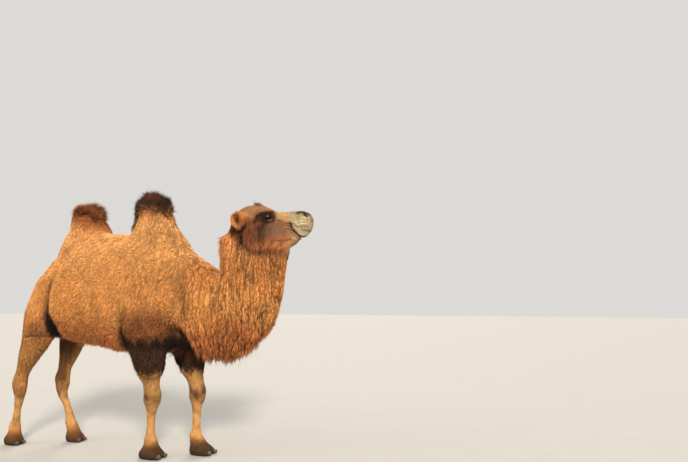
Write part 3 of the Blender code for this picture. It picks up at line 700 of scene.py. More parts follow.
FACE_MARKS = (
    Mark(1.5, EYE_PATCH, (0.238, 0.10, 1.938), (0.062, 0.12, 0.034), EVERYWHERE),
    Mark(1.0, EYE_PATCH, BROW, 0.020, EVERYWHERE),
    Mark(0.7, EYE_PATCH, EYE_CORNER, 0.014, OFF_MIDDLE),
    Mark(0.9, EYE_PATCH, EYE_SHADOW, 0.022, OFF_MIDDLE),
    Mark(0.85, EYE_PATCH, UNDER_EYE, 0.036, OFF_MIDDLE),
    # A painted highlight along the lower lid.
    Mark(0.6, LID_HIGHLIGHT, LOWER_LID, 0.005, OFF_MIDDLE),
    Mark(1.2, NOSE_BROWN, NOSE_PATCH, 0.016, NOSE_START),
    Mark(0.6, NOSE_BROWN, NOSE_RIM, 0.006, NOSE_START),
    # Painted shade in the nostril.
    Mark(1.3, NEAR_BLACK, NOSTRIL, 0.006, NOSTRIL_START),
    # Painted shade in the slit between the lips.
    Mark(1.3, NEAR_BLACK, MOUTH, 0.0055, EVERYWHERE),
    Mark(0.5, NOSE_BROWN, MOUTH, 0.016, EVERYWHERE),
# Painted shade in the wrinkles.
) + tuple(Mark(0.5, EYE_PATCH, line, 0.005, OFF_MIDDLE) for line in WRINKLE_LINES) + (
    # Painted shade along the hem under the jaw.
    Mark(1.2, EYE_PATCH, HEM, 0.011, HEM_START),
    # Painted shade in the jaw crease.
    Mark(0.55, EYE_PATCH, JAW, 0.010, OFF_MIDDLE),
)
# Painted shade on the head under each ear.
BAND_MARK = Mark(1.3, EYE_PATCH, SHADE_UNDER_EAR, 0.018, BAND_START)


def marked(side, mark):
    """How much of a mark there is at each place, where places are along, out from the middle and up."""
    if np.ndim(mark.size):
        shape = blob(side, mark.place, mark.size)
    else:
        shape = along(side[:, (0, 2)], mark.place, mark.size)
    return mark.amount * shape * ease(side[:, 1], *mark.start)


EAR_FACING = np.array((0.35, 1.0, 0.1))


def ear_axes(side):
    """The middle of an ear, and three axes: up it, out of its hollow, and across it."""
    flip = np.array((1, side, 1))
    root, tip = from_head(EAR_ROOT * flip), from_head(EAR_TIP * flip)
    up = (tip - root) / np.linalg.norm(tip - root)
    facing = (EAR_FACING * flip) @ HEAD_AXES
    facing = facing - up * (facing @ up)
    facing /= np.linalg.norm(facing)
    return (root + tip) / 2, np.stack((up, facing, np.cross(up, facing)))


def ear_hollow(places):
    """1 in the cup of either ear, on the side that it opens."""
    total = np.zeros(len(places))
    for side in SIDES:
        middle, axes = ear_axes(side)
        up, out, across = ((places + ORIGIN - middle) @ axes.T).T
        total += np.exp(-(up / 0.052) ** 2 - (across / 0.024) ** 2) * ease(out, -0.016, -0.006)
    return np.clip(total * 1.4, 0, 1)


def forelock(places):
    """1 in the small dark tuft on top of the head."""
    return blob(in_head(places + ORIGIN), (0.180, 0.0, 2.045), (0.036, 0.045, 0.035))


def below_mouth(side):
    """1 on the lower jaw, under the line of the mouth."""
    line = np.interp(side[:, 0], *zip(*MOUTH))
    return ease(line - side[:, 2], 0.0, 0.008)


def head_layers(places, side, ear):
    """The head's colours, as amounts and colours."""
    s, _, h = side.T
    pale_lit_streaks = ease(ripple(side, 0.026, 61, (2.0, 1, 0.7)), -0.4, 0.8)
    pale_lit_streaks *= blob(side, (0.505, 0.06, 1.905), (0.055, 0.10, 0.050))
    return [
        (np.ones(len(s)), HEAD_TAN),
        (0.9 * ease(h, 1.915, 1.955) * ease(-s, -0.36, -0.29), POLL_TAN),
        (0.6 * blob(side, (0.07, 0.10, 1.78), (0.08, 0.10, 0.08)), CHEEK_BROWN),
        (0.9 * ease(s, 0.28, 0.32) * ease(h - 0.10 * (0.36 - s), 1.885, 1.905), BRIDGE),
        *((marked(side, mark), mark.colour) for mark in CHEEK_MARKS),
        (ease(s + 0.25 * (h - 1.88), 0.405, 0.450), CREAM),
        # Pale streaks on the muzzle, lightened further as painted highlights.
        (0.75 * pale_lit_streaks, CREAM_LIGHT),
        *((marked(side, mark), mark.colour) for mark in MUZZLE_MARKS),
        (0.9 * ease(s, 0.37, 0.42) * below_mouth(side), JAW_BROWN),
        (marked(side, CHIN_MARK) * below_mouth(side), CHIN_MARK.colour),
        *((marked(side, mark), mark.colour) for mark in FACE_MARKS),
        (ear, EAR_TAN),
        (ear * ear_hollow(places), EAR_INNER),
        ((1 - ear) * marked(side, BAND_MARK), BAND_MARK.colour),
        (1.2 * forelock(places), EYE_PATCH),
    ]


def head_tones(places, share, tone):
    """Lays the head's markings over the tones."""
    warp = np.stack([ripple(places, 0.05, seed) for seed in (62, 63, 64)], 1)
    side = half_of(in_head(places + ORIGIN) + 0.004 * warp)
    on_head = sum(share[name] for name in HEAD_REGIONS)
    for amount, colour in head_layers(places, side, share["ear"]):
        lay(tone, amount * on_head, colour)
    lay(tone, 0.85 * blob(side, (0.345, 0.04, 1.660), (0.055, 0.09, 0.034)), THROAT_GREY)
    return tone


def tones_at(places, weights):
    """The coat's colour at each place, which the skin and the tufts share."""
    share = {name: weights[:, k] for k, name in enumerate(COATS)}
    tone = head_tones(places, share, body_tones(places, share))
    shade = 1 + 0.05 * ripple(places, 0.22, 5) + 0.05 * ripple(places, 0.06, 6)
    legs = share["shank"] + share["foot"] + share["thigh"]
    shade += 0.10 * (legs + share["face"]) * ripple(places, 0.016, 8, (1, 1, 2.5))
    return np.clip(tone * shade[:, None], 0.004, 1)


# ---------------------------------------------------------------------------
# The skin
# ---------------------------------------------------------------------------

EYE_S, EYE_T, EYE_H = np.abs(in_head(np.array([sum(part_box(EYES[1]), Vector()) / 2]))[0])


def eye_gap(head):
    """How far each place is from the middle of the eye on its side."""
    return np.linalg.norm(half_of(head) - np.array((EYE_S, EYE_T, EYE_H)), axis=1)


def face_detail(places):
    """True in front of the ears, and on them, where the skin needs smaller faces."""
    s, t, h = in_head(places).T
    return (s > -0.08) & (h > 1.66) & (np.abs(t) < 0.22)


def fine_detail(places):
    """True round the eyes and on the snout."""
    head = in_head(places)
    return (eye_gap(head) < 0.065) | (head[:, 0] > 0.36) & (head[:, 2] > 1.72)


def finest_detail(places):
    """True at the eyes, the nostrils and the mouth."""
    head = in_head(places)
    flat = head[:, (0, 2)]
    lines = np.maximum(along(flat, MOUTH, 0.012), along(flat, NOSTRIL, 0.010))
    return (eye_gap(head) < 0.042) | (lines > 0.3)


def raw_skin():
    """The flesh nodes as one smooth surface, finer on the face."""
    mesh_data = melted(FLESH + EYES + NAILS, SKIN_VOXEL, 8)
    for wanted in (face_detail, fine_detail, finest_detail):
        refined(mesh_data, wanted)
    return surface_of(mesh_data)


# Each is a centre, radii, and how far the head's skin moves out there.
STROKES = (
    ((0.245, 0.085, 1.985), (0.045, 0.035, 0.016), 0.009),
    ((0.205, 0.105, 1.890), (0.055, 0.030, 0.014), -0.005),
    ((0.150, 0.095, 1.800), (0.080, 0.050, 0.060), 0.006),
    ((0.140, 0.105, 1.905), (0.050, 0.030, 0.014), 0.004),
    ((0.330, 0.075, 1.850), (0.050, 0.050, 0.035), -0.007),
    ((0.350, 0.055, 1.925), (0.060, 0.025, 0.010), 0.003),
    ((0.520, 0.045, 1.990), (0.030, 0.022, 0.010), 0.005),
    ((0.550, 0.048, 1.930), (0.022, 0.022, 0.014), 0.005),
    ((0.500, 0.060, 1.860), (0.040, 0.040, 0.040), 0.005),
    ((0.340, 0.070, 1.720), (0.060, 0.040, 0.020), 0.004),
)
# Each is a line on the side of the head, its half width, how far the skin moves out, and where it begins.
LINES = (
    (MOUTH, 0.0045, -0.013, EVERYWHERE),
    (tuple((s - 0.006, h - 0.012) for s, h in MOUTH), 0.009, 0.004, EVERYWHERE),
    (tuple((s + 0.010, h + 0.014) for s, h in MOUTH), 0.011, 0.005, EVERYWHERE),
    (JAW, 0.012, -0.004, EVERYWHERE),
    (UNDER_BRIDGE, 0.010, -0.004, EVERYWHERE),
    (LIP_STREAKS[0], 0.006, -0.002, EVERYWHERE),
    (NOSTRIL, 0.013, 0.004, NOSTRIL_START),
    (NOSTRIL, 0.0045, -0.014, NOSTRIL_START),
    (HEM, 0.014, -0.010, HEM_START),
) + tuple((line, 0.006, -0.003, EVERYWHERE) for line in WRINKLE_LINES)
# How wide and how deep the split in the upper lip is.
LIP_SPLIT = 0.006
EAR_CUP = 0.016


def sculpted(skin, on_head):
    """Moves the head's skin along its normals into brows, lips, nostrils and creases."""
    side = half_of(in_head(skin.points))
    s, t, h = side.T
    push = np.zeros(len(side))
    for centre, radii, height in STROKES:
        push += height * blob(side, centre, radii)
    for line, half_width, height, start in LINES:
        push += height * along(side[:, (0, 2)], line, half_width) * ease(t, *start)
    split = np.exp(-((t / LIP_SPLIT) ** 2)) * ease(s, 0.54, 0.57) * ease(h, 1.78, 1.80)
    push -= LIP_SPLIT * split * ease(-h, -1.96, -1.93)
    push -= EAR_CUP * ear_hollow(skin.points - ORIGIN)
    skin.points += skin.normals() * (push * on_head)[:, None]


LIMBS = ("foreleg_right", "foreleg_left", "hindleg_right", "hindleg_left")
# Each is forward of the leg's middle in half-widths and up; the reach of each; how far the skin moves out.
LIMB_STROKES = {
    "foreleg": (
        ((0.9, 0.515), (0.8, 0.040), 0.007),
        ((0.9, 0.450), (0.8, 0.022), 0.004),
        ((-0.9, 0.470), (0.6, 0.035), 0.006),
        ((0.0, 0.395), (2.0, 0.040), -0.004),
        ((-0.32, 0.300), (0.22, 0.110), -0.006),
        ((-0.9, 0.160), (0.6, 0.024), 0.008),
        ((0.8, 0.150), (0.6, 0.030), 0.004),
    ),
    "hindleg": (
        ((-0.9, 0.575), (0.5, 0.050), 0.008),
        ((0.9, 0.500), (0.6, 0.040), 0.005),
        ((-0.35, 0.640), (0.25, 0.080), -0.007),
        ((0.0, 0.420), (2.0, 0.040), -0.003),
        ((-0.32, 0.310), (0.22, 0.110), -0.006),
        ((-0.9, 0.170), (0.6, 0.024), 0.007),
        ((0.8, 0.160), (0.6, 0.030), 0.004),
    ),
}
LIMB_TOP = 0.75
LIMB_STEP = 0.025
WRINKLES = 0.0018


def across_limb(places):
    """How far each place is ahead of the middle of its leg at its height, in half-widths."""
    x, _, z = places.T
    rows = np.arange(LIMB_STEP / 2, LIMB_TOP, LIMB_STEP)
    near = [x[np.abs(z - row) < LIMB_STEP] for row in rows]
    back, front = np.array([(at_row.min(), at_row.max()) for at_row in near]).T
    return (x - np.interp(z, rows, (back + front) / 2)) / np.interp(z, rows, (front - back) / 2)


def limb_sculpt(skin, nearest, limb):
    """Moves one leg's skin along its normals into joints and tendons."""
    tags = (limb, limb.replace("leg", "foot"))
    owned = np.array([name.startswith(tags) for name in FLESH])[nearest]
    owned &= skin.points[:, 2] < LIMB_TOP
    places = skin.points[owned]
    z = places[:, 2]
    flat = np.stack((across_limb(places), z), 1)
    push = np.zeros(len(places))
    for centre, radii, height in LIMB_STROKES[limb.split("_")[0]]:
        push += height * blob(flat, centre, radii)
    joint = np.exp(-((z - KNEE_Z) / 0.06) ** 2)
    push -= WRINKLES * joint * np.abs(np.sin(z * math.pi / 0.022 + 2 * ripple(places, 0.08, 51)))
    moved = np.zeros(len(skin.points))
    moved[owned] = push
    skin.points += skin.normals() * moved[:, None]


def body_sculpt(skin, nearest, weights):
    """The folds of the flanks and elbows, and the legs' joints."""
    places = skin.points - ORIGIN
    push = np.zeros(len(places))
    for fold in FOLDS:
        behind = places - np.array((2.2 * fold.half_width, 0, 0))
        for side, depth in zip(SIDES, fold.depth):
            push += depth * (0.35 * fold_share(behind, fold, side) - fold_share(places, fold, side))
    push += 0.004 * ripple(places, 0.16, 52) * blended(weights, "depth") / 0.022
    skin.points += skin.smoothed(skin.normals(), 3) * push[:, None]
    for limb in LIMBS:
        limb_sculpt(skin, nearest, limb)


EYE_SINK = 0.004
EYE_AHEAD = 0.28
# Axes are out of the head, ahead, and up.
Eye = collections.namedtuple("Eye", "centre radius side axes")


def eye_of(node):
    """Where an eyeball is, and its own axes."""
    low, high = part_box(node)
    centre = np.array((low + high) / 2)
    side = math.copysign(1.0, in_head(centre[None])[0, 1])
    out = unit(np.array([(EYE_AHEAD, side, 0.10)]) @ HEAD_AXES)[0]
    ahead = unit((HEAD_AXES[0] - out * (HEAD_AXES[0] @ out))[None])[0]
    up = unit((np.cross(ahead, out) * -side)[None])[0]
    return Eye(centre - out * EYE_SINK, (high.x - low.x) / 2, side, np.stack((out, ahead, up)))


LID_THICKNESS = 0.0035
LID_REACH = 2.0
LID_BLEND = 0.026
SOCKET_DEPTH = 0.006
OPENING = (math.radians(50), math.radians(21))
OPENING_AHEAD = math.radians(4)
OPENING_LOW = math.radians(2)
OPENING_SLANT = math.radians(5)


def lid_edges(ahead):
    """The middle of the opening between the lids and half its height, at angles ahead."""
    share = np.clip(np.abs(ahead - OPENING_AHEAD) / OPENING[0], 0, 1)
    return -OPENING_LOW - OPENING_SLANT * (ahead / OPENING[0]), OPENING[1] * (1 - share ** 2.2)


def opening_gap(ahead, above):
    """Below 0 in the opening between the lids, as an angle from its edge."""
    middle, half = lid_edges(ahead)
    beyond = np.maximum(np.abs(ahead - OPENING_AHEAD) - OPENING[0], 0)
    return np.abs(above - middle) - half + beyond


def close_lids(skin, eye):
    """Wraps the skin round the eyeball and opens a slit between the lids."""
    offset = skin.points - eye.centre
    distance = np.linalg.norm(offset, axis=1)
    out, forward, upward = (offset @ eye.axes.T).T
    ahead = np.arctan2(forward, out)
    above = np.arcsin(np.clip(upward / np.maximum(distance, 1e-6), -1, 1))
    near = (distance < eye.radius * LID_REACH) & (np.abs(ahead) < math.radians(100))
    gap = opening_gap(ahead, above)
    lid = np.maximum(distance, eye.radius + LID_THICKNESS * (1 - 0.5 * ease(-gap, -0.12, 0.0)))
    wanted = lid + ease(-gap, -0.03, 0.05) * (eye.radius - SOCKET_DEPTH - lid)
    fade = ease(eye.radius * LID_REACH - distance, 0, LID_BLEND)
    moved = np.where(near, distance + fade * (wanted - distance), distance)
    skin.points = eye.centre + offset * (moved / np.maximum(distance, 1e-6))[:, None]


def inset(skin, depth):
    """Moves the skin in from the outline by the coat's depth, in a few steps that keep it smooth."""
    steps = 3
    depth = skin.smoothed(depth[:, None], 10)[:, 0]
    for _ in range(steps):
        normals = skin.smoothed(skin.normals(), 4)
        skin.points -= unit(normals) * (depth / steps)[:, None]
        skin.points = skin.smoothed(skin.points, 1, 0.4)


FLOOR_GAP = 0.0005
SOLE_TOP = 0.02


def make_skin():
    """The skin as a surface, with its share of each coat and the node nearest each vertex."""
    skin = raw_skin()
    nearest = node_finder()(skin.points)
    weights = regions_of(skin, nearest)
    on_head = weights[:, [list(COATS).index(name) for name in HEAD_REGIONS]].sum(1)
    skin.points = skin.smoothed(skin.points, 6, 0.5 * (0.3 + 0.7 * on_head))
    height = skin.points[:, 2].copy()
    inset(skin, blended(weights, "depth") + SWELL)
    body_sculpt(skin, nearest, weights)
    sculpted(skin, on_head)
    for node in EYES:
        close_lids(skin, eye_of(node))
    level = np.where(height < SOLE_TOP, height, skin.points[:, 2])
    skin.points[:, 2] = np.maximum(level, FLOOR_GAP)
    return skin, weights, nearest


# ---------------------------------------------------------------------------
# Materials
# ---------------------------------------------------------------------------

# Grain is a noise texture's scale, detail and stretch. Shades are how far it darkens and lightens the tone.
# Bump is a grain and a depth in metres, and settings are the shader's own values.
Finish = collections.namedtuple("Finish", "grain shades bump settings")
EVEN = (1, 1, 1)
WOOL = Finish((420, 2, (1, 1, 0.25)), (0.82, 1.18), None, {
    "Roughness": 0.72, "Specular IOR Level": 0.12, "Sheen Weight": 0.03, "Sheen Roughness": 0.5,
})
SHORT_FUR = Finish((300, 3, EVEN), (0.75, 1.15), ((450, 3, EVEN), 0.002), {
    "Roughness": 0.85, "Specular IOR Level": 0.10,
})
WET_EYE = Finish((900, 3, EVEN), (0.8, 1.2), None, {
    "Roughness": 0.20, "Specular IOR Level": 0.15, "Coat Weight": 0.5, "Coat Roughness": 0.02,
})
HORN = Finish((160, 4, (0.3, 1, 1)), (0.55, 1.5), ((500, 3, (0.4, 1, 1)), 0.001), {"Roughness": 0.5})
BUMP_STRENGTH = 0.5


def new_material(name):
    """An empty node material, with its nodes, links and shader."""
    made = bpy.data.materials.new(name)
    made.use_nodes = True
    return made, made.node_tree.nodes, made.node_tree.links, made.node_tree.nodes["Principled BSDF"]


def noise(nodes, links, scale, detail, stretch):
    """A noise texture in the object's own metres."""
    place = nodes.new("ShaderNodeTexCoord")
    mapping = nodes.new("ShaderNodeMapping")
    mapping.inputs["Scale"].default_value = stretch
    texture = nodes.new("ShaderNodeTexNoise")
    texture.inputs["Scale"].default_value = scale
    texture.inputs["Detail"].default_value = detail
    links.new(place.outputs["Object"], mapping.inputs["Vector"])
    links.new(mapping.outputs["Vector"], texture.inputs["Vector"])
    return texture.outputs["Fac"]


def add_tone(nodes, links, shader, finish):
    """Colours the shader with the tone attribute, darkened and lightened by a grain."""
    shade = nodes.new("ShaderNodeMapRange")
    shade.inputs["To Min"].default_value, shade.inputs["To Max"].default_value = finish.shades
    links.new(noise(nodes, links, *finish.grain), shade.inputs["Value"])
    tone = nodes.new("ShaderNodeAttribute")
    tone.attribute_name = "tone"
    scaled = nodes.new("ShaderNodeVectorMath")
    scaled.operation = "SCALE"
    links.new(tone.outputs["Color"], scaled.inputs[0])
    links.new(shade.outputs["Result"], scaled.inputs["Scale"])
    links.new(scaled.outputs["Vector"], shader.inputs["Base Color"])


def add_bump(nodes, links, shader, grain, depth):
    """Roughens the shader with a grain."""
    bump = nodes.new("ShaderNodeBump")
    bump.inputs["Distance"].default_value = depth
    bump.inputs["Strength"].default_value = BUMP_STRENGTH
    links.new(noise(nodes, links, *grain), bump.inputs["Height"])
    links.new(bump.outputs["Normal"], shader.inputs["Normal"])


def toned_material(name, finish):
    """A material that shows the tone attribute with this finish."""
    made, nodes, links, shader = new_material(name)
    add_tone(nodes, links, shader, finish)
    if finish.bump:
        add_bump(nodes, links, shader, *finish.bump)
    for socket, value in finish.settings.items():
        shader.inputs[socket].default_value = value
    return made


def floor_material():
    """Plain pale ground."""
    made, nodes, links, shader = new_material("pale_floor")
    ramp = nodes.new("ShaderNodeValToRGB")
    ramp.color_ramp.elements[0].color = (0.385, 0.375, 0.355, 1)
    ramp.color_ramp.elements[1].color = (0.415, 0.405, 0.385, 1)
    links.new(noise(nodes, links, 3, 4, EVEN), ramp.inputs["Fac"])
    links.new(ramp.outputs["Color"], shader.inputs["Base Color"])
    shader.inputs["Roughness"].default_value = 0.9
    return made


# ---------------------------------------------------------------------------
# The coat's tufts
# ---------------------------------------------------------------------------

Roots = collections.namedtuple("Roots", "places normals share vertices")


def scatter(skin, per_m2, rng):
    """Places on the skin, each as a triangle and its corners' shares, spread evenly by area and density."""
    wanted = skin.areas() * per_m2[skin.triangles].mean(1)
    total = int(wanted.sum())
    marks = (np.arange(total) + rng.random(total)) * (wanted.sum() / total)
    chosen = np.minimum(np.searchsorted(np.cumsum(wanted), marks), len(wanted) - 1)
    first, second = rng.random(total), rng.random(total)
    over = first + second > 1
    first[over], second[over] = 1 - first[over], 1 - second[over]
    return chosen, np.stack((1 - first - second, first, second), 1)


def bare(points):
    """1 where there is no hair: between the lips, in the nostrils and ears, and on the lids' edges."""
    head = in_head(points)
    flat = head[:, (0, 2)]
    nostrils = along(flat, NOSTRIL, 0.005) * (np.abs(head[:, 1]) > 0.012)
    openings = ease(np.maximum(along(flat, MOUTH, 0.006), nostrils), 0.27, 0.60)
    openings = np.maximum(openings, 0.7 * ear_hollow(points - ORIGIN))
    return np.maximum(openings, ease(-eye_gap(head), -0.034, -0.030))


def make_roots(skin, weights, rng):
    """Where the tufts grow, with the skin's normal, the share of each coat and a skin vertex at each."""
    per_m2 = blended(weights, "per_m2") * (1 - bare(skin.points)) * (1 + 2 * forelock(skin.points - ORIGIN))
    chosen, corners = scatter(skin, per_m2, rng)
    found = skin.triangles[chosen]
    at_vertices = (skin.points, skin.normals(), weights)
    places, normals, share = ((values[found] * corners[:, :, None]).sum(1) for values in at_vertices)
    return Roots(places, unit(normals), share, found[:, 0])


def crown_flow(roots, normals):
    """Hair that stands in a loose mop on each hump and falls down the side that faces the saddle."""
    x = roots[:, 0] - ORIGIN[0]
    front = x > SADDLE_X
    falls = np.where(front, ease(-x, 0.33, 0.43), ease(x, -0.90, -0.80))
    flow = 0.4 * normals
    flow[:, 0] += np.where(front, -0.35, 0.50) * (1 - 0.5 * falls)
    flow[:, 2] += 0.30 - 1.3 * falls
    return flow


def lie_of_coat(roots):
    """Which way the hair lies at each root, before it is laid along the skin."""
    total = np.zeros_like(roots.places)
    for k, (name, coat) in enumerate(COATS.items()):
        flow = np.tile(np.array(coat.flow, float), (len(total), 1))
        if name in HEAD_REGIONS:
            flow = flow @ HEAD_AXES
        if name == "ear":
            side = np.sign(in_head(roots.places)[:, 1])[:, None]
            flip = np.concatenate([np.ones_like(side), side, np.ones_like(side)], 1)
            flow = (EAR_TIP - EAR_ROOT) * flip @ HEAD_AXES
        if name == "crown":
            flow = crown_flow(roots.places, roots.normals)
        total += roots.share[:, k:k + 1] * unit(flow)
    return total


def combed(roots, rng):
    """The lie of the hair along the skin, swaying and curling. Where the skin overhangs, it falls free."""
    flow = lie_of_coat(roots)
    inward = (flow * roots.normals).sum(1)
    kept = np.where(inward > 0, inward * 0.9, 0.0)
    flow = unit(flow - (inward - kept)[:, None] * roots.normals)
    places = roots.places - ORIGIN
    woolly = blended(roots.share, "curl")
    sway = (0.08 + 0.8 * woolly) * ripple(places, 0.45, 21)
    sway += woolly * (0.7 * ripple(places, 0.10, 22) + rng.normal(0, 0.35, len(places)))
    turned = flow * np.cos(sway)[:, None] + np.cross(roots.normals, flow) * np.sin(sway)[:, None]
    return unit(turned)


def locks_of(roots, rng):
    """The root at the middle of each tuft's lock, longest down the body, and 1 at the sides of the lock."""
    centres = np.flatnonzero(rng.random(len(roots)) < LOCKS_PER_TUFT)
    squeeze = np.array((1, 1, LOCK_STRETCH))
    tree = KDTree(len(centres))
    for number, index in enumerate(centres):
        tree.insert(roots[index] * squeeze, number)
    tree.balance()
    found = [tree.find_n(place, 2) for place in roots * squeeze]
    near, far = (centres[[pair[k][1] for pair in found]] for k in (0, 1))
    gap = np.array([pair[1][2] - pair[0][2] for pair in found])
    between = (roots[far] - roots[near]) * squeeze
    sideways = 1 - np.abs(between[:, 2]) / np.maximum(np.linalg.norm(between, axis=1), 1e-9)
    return near, np.exp(-((gap / LOCK_EDGE) ** 2)) * sideways


# The steepest that a tuft stands, in degrees, and the share of its lift that its tip keeps.
STEEPEST = 80
TIP_LIFT = 0.25
# How far its middle and its tip wave, and are drawn to the lock, as shares of its length or of the way there.
MIDDLE_WAVE, TIP_WAVE = 0.25, 0.45
MIDDLE_PULL, MOST_PULL = 0.4, 0.35
# The lowest that its middle and its tip hang over the floor.
MIDDLE_FLOOR, TIP_FLOOR = 0.004, 0.002
# Where the trunk's coat is parted into its front and its rear pieces.
TRUNK_SPLIT_X = -0.66

Tufts = collections.namedtuple("Tufts", "root bend tip side normal width tone curved")
Growth = collections.namedtuple("Growth", "lock crack length lift shade stray")


def growth_of(roots, rng):
    """How long, steep and light each tuft is, and the lock that it belongs to."""
    size = len(roots.places)
    places, share = roots.places - ORIGIN, roots.share
    lock, lock_edge = locks_of(roots.places, rng)
    crack = cracks(places, share, lock_edge)
    lock_length = rng.uniform(0.80, 1.20, size)[lock]
    lock_lift = rng.uniform(0.6, 1.35, size)[lock]
    lock_shade = 1 + rng.uniform(-0.16, 0.16, size)[lock] * ease(blended(share, "crack"), 0.1, 0.6)
    stray = rng.random(size) < STRAY_SHARE
    stretch = np.where(stray, STRAY_STRETCH, 1)
    tufted = forelock(places)
    length = (blended(share, "length") + FORELOCK_LENGTH * tufted) * lock_length * rng.uniform(0.7, 1.2, size)
    lift = (blended(share, "lift") + FORELOCK_LIFT * tufted) * lock_lift * rng.uniform(0.6, 1.3, size)
    flat = 1 - 0.5 * crack
    lift = np.radians(np.minimum(lift * flat * stretch, STEEPEST))
    return Growth(lock, crack, length * flat * stretch, lift, lock_shade, stray)


def raised(flow, normals, angle):
    """The lie of the hair, lifted off the skin by an angle."""
    return flow * np.cos(angle)[:, None] + normals * np.sin(angle)[:, None]


def grow(skin, weights, rng):
    """The coat's tufts as arrays, with a skin vertex near each."""
    roots = make_roots(skin, weights, rng)
    flow = combed(roots, rng)
    side = unit(np.cross(roots.normals, flow))
    growth = growth_of(roots, rng)
    size, length = len(flow), growth.length
    half = (0.5 * length)[:, None]
    bend = roots.places + raised(flow, roots.normals, growth.lift) * half
    tip = bend + raised(flow, roots.normals, growth.lift * TIP_LIFT) * half
    wave = blended(roots.share, "curl") * length
    bend += side * (wave * rng.normal(0, MIDDLE_WAVE, size))[:, None]
    tip += side * (wave * rng.normal(0, TIP_WAVE, size))[:, None]
    pull = ((roots.places[growth.lock] - roots.places) * side).sum(1) * blended(roots.share, "gather")
    pull = np.clip(pull, -MOST_PULL * length, MOST_PULL * length)[:, None]
    bend += side * (MIDDLE_PULL * pull)
    tip += side * pull
    bend[:, 2] = np.clip(bend[:, 2], MIDDLE_FLOOR, HAIR_TOP)
    tip[:, 2] = np.clip(tip[:, 2], TIP_FLOOR, HAIR_TOP)
    width = blended(roots.share, "width") * rng.uniform(0.75, 1.25, size) * np.where(growth.stray, 0.5, 1)
    # Tufts in the partings are darkened as painted shade.
    shade = growth.shade * rng.uniform(0.90, 1.10, size) * (1 - CRACK_SHADE * growth.crack)
    tone = tones_at(roots.places - ORIGIN, roots.share) * shade[:, None]
    sunk = roots.places - roots.normals * (ROOT_SINK * length)[:, None]
    curved = blended(roots.share, "length") > SHORTEST_CURVED
    return Tufts(sunk, bend, tip, side, roots.normals, width, tone, curved), roots.vertices


# A tuft's rings, as the share of the way along it, its breadth there, and how light it is.
# The dark roots are painted shade inside the coat. Then how light the tip is, partly the hair's own paler
# end and partly painted light, and the corners of a ring, as places across the tuft and off the skin.
CURVED_RINGS = ((0.0, 0.75, 0.52), (0.5, 1.0, 1.06))
SPIKE_RINGS = ((0.0, 1.0, 0.98),)
TIP_LIGHT = 1.30
CORNERS = ((-0.5, -0.12), (0.0, 0.38), (0.5, -0.12))


def tuft_points(tufts, rings):
    """The corners of every tuft, ring by ring and then its tip, with each one's shade and patch place."""
    columns, shades, patches = [], [], []
    for share, breadth, light in rings:
        place = (1 - share) ** 2 * tufts.root + 2 * share * (1 - share) * tufts.bend + share ** 2 * tufts.tip
        for across, rise in CORNERS:
            offset = tufts.side * across + tufts.normal * rise
            columns.append(place + offset * (tufts.width * breadth)[:, None])
            shades.append(light)
            patches.append((across * 2 * PATCH, (share * 2 - 1) * PATCH))
    columns.append(tufts.tip)
    points = np.stack(columns, 1)
    points[..., 2] = np.maximum(points[..., 2], 0.0)
    return points, np.array(shades + [TIP_LIGHT]), np.array(patches + [(0.0, PATCH)])


def tuft_faces(count, rings):
    """Triangles of one tuft's base, sides and point, repeated for every tuft."""
    last, point = (len(rings) - 1) * 3, len(rings) * 3
    faces = [(0, 1, 2)]
    for low in range(0, last, 3):
        for k, j in ((0, 1), (1, 2), (2, 0)):
            faces.append((low + k, low + 3 + k, low + j))
            faces.append((low + j, low + 3 + k, low + 3 + j))
    faces.extend((last + k, point, last + (k + 1) % 3) for k in range(3))
    return (np.array(faces)[None] + (point + 1) * np.arange(count)[:, None, None]).reshape(-1, 3)


def picked(tufts, chosen):
    """Some of the tufts."""
    return Tufts(*(values[chosen] for values in tufts))


def coat_piece(name, tufts, patch_centres, material):
    """One closed tuft for each root, as a single mesh with its bake map."""
    points, faces, tones, spots = [], [], [], []
    size = 0
    for rings, chosen in ((CURVED_RINGS, tufts.curved), (SPIKE_RINGS, ~tufts.curved)):
        some = picked(tufts, chosen)
        corners, shades, patches = tuft_points(some, rings)
        faces.append(tuft_faces(len(corners), rings) + size)
        size += corners.shape[0] * corners.shape[1]
        points.append(corners.reshape(-1, 3))
        tones.append((some.tone[:, None, :] * shades[None, :, None]).reshape(-1, 3))
        spots.append((patch_centres[chosen][:, None, :] + patches[None]).reshape(-1, 2))
    tones = np.clip(np.concatenate(tones), 0.002, 1)
    mesh_data, loops = mesh_of(name, np.concatenate(points), [np.concatenate(faces)], tones)
    layer = mesh_data.uv_layers.new(name="OFBake")
    layer.uv.foreach_set("vector", np.concatenate(spots)[loops].astype(np.float32).ravel())
    mesh_data.materials.append(material)
    piece = object_of(mesh_data, name)
    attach(piece, "root")
    return piece


def piece_name(node, place, head_place):
    """The coat piece that a tuft on this node belongs to."""
    side = "left" if place[1] > 0 else "right"
    if node == "trunk":
        return f"coat_trunk_{side}_{'front' if place[0] > TRUNK_SPLIT_X else 'rear'}"
    if node.startswith("neck"):
        return f"coat_{node}_{side}"
    if node == "head":
        return f"coat_head_{'left' if head_place[1] > 0 else 'right'}"
    if node.startswith(("fore", "hind")):
        return f"coat_{node[:4]}leg_{side}"
    return f"coat_{node}"


def unwrap(points):
    """Unrolls places about their own long axis, as places along it and round it that stay inside the map."""
    offset = points - points.mean(0)
    axes = np.linalg.eigh(offset.T @ offset)[1]
    around = np.arctan2(offset @ axes[:, 0], offset @ axes[:, 1])
    table = np.stack((offset @ axes[:, 2], around), 1)
    low, high = table.min(0), table.max(0)
    margin = 2 * PATCH
    return margin + (table - low) / (high - low) * (1 - 2 * margin)


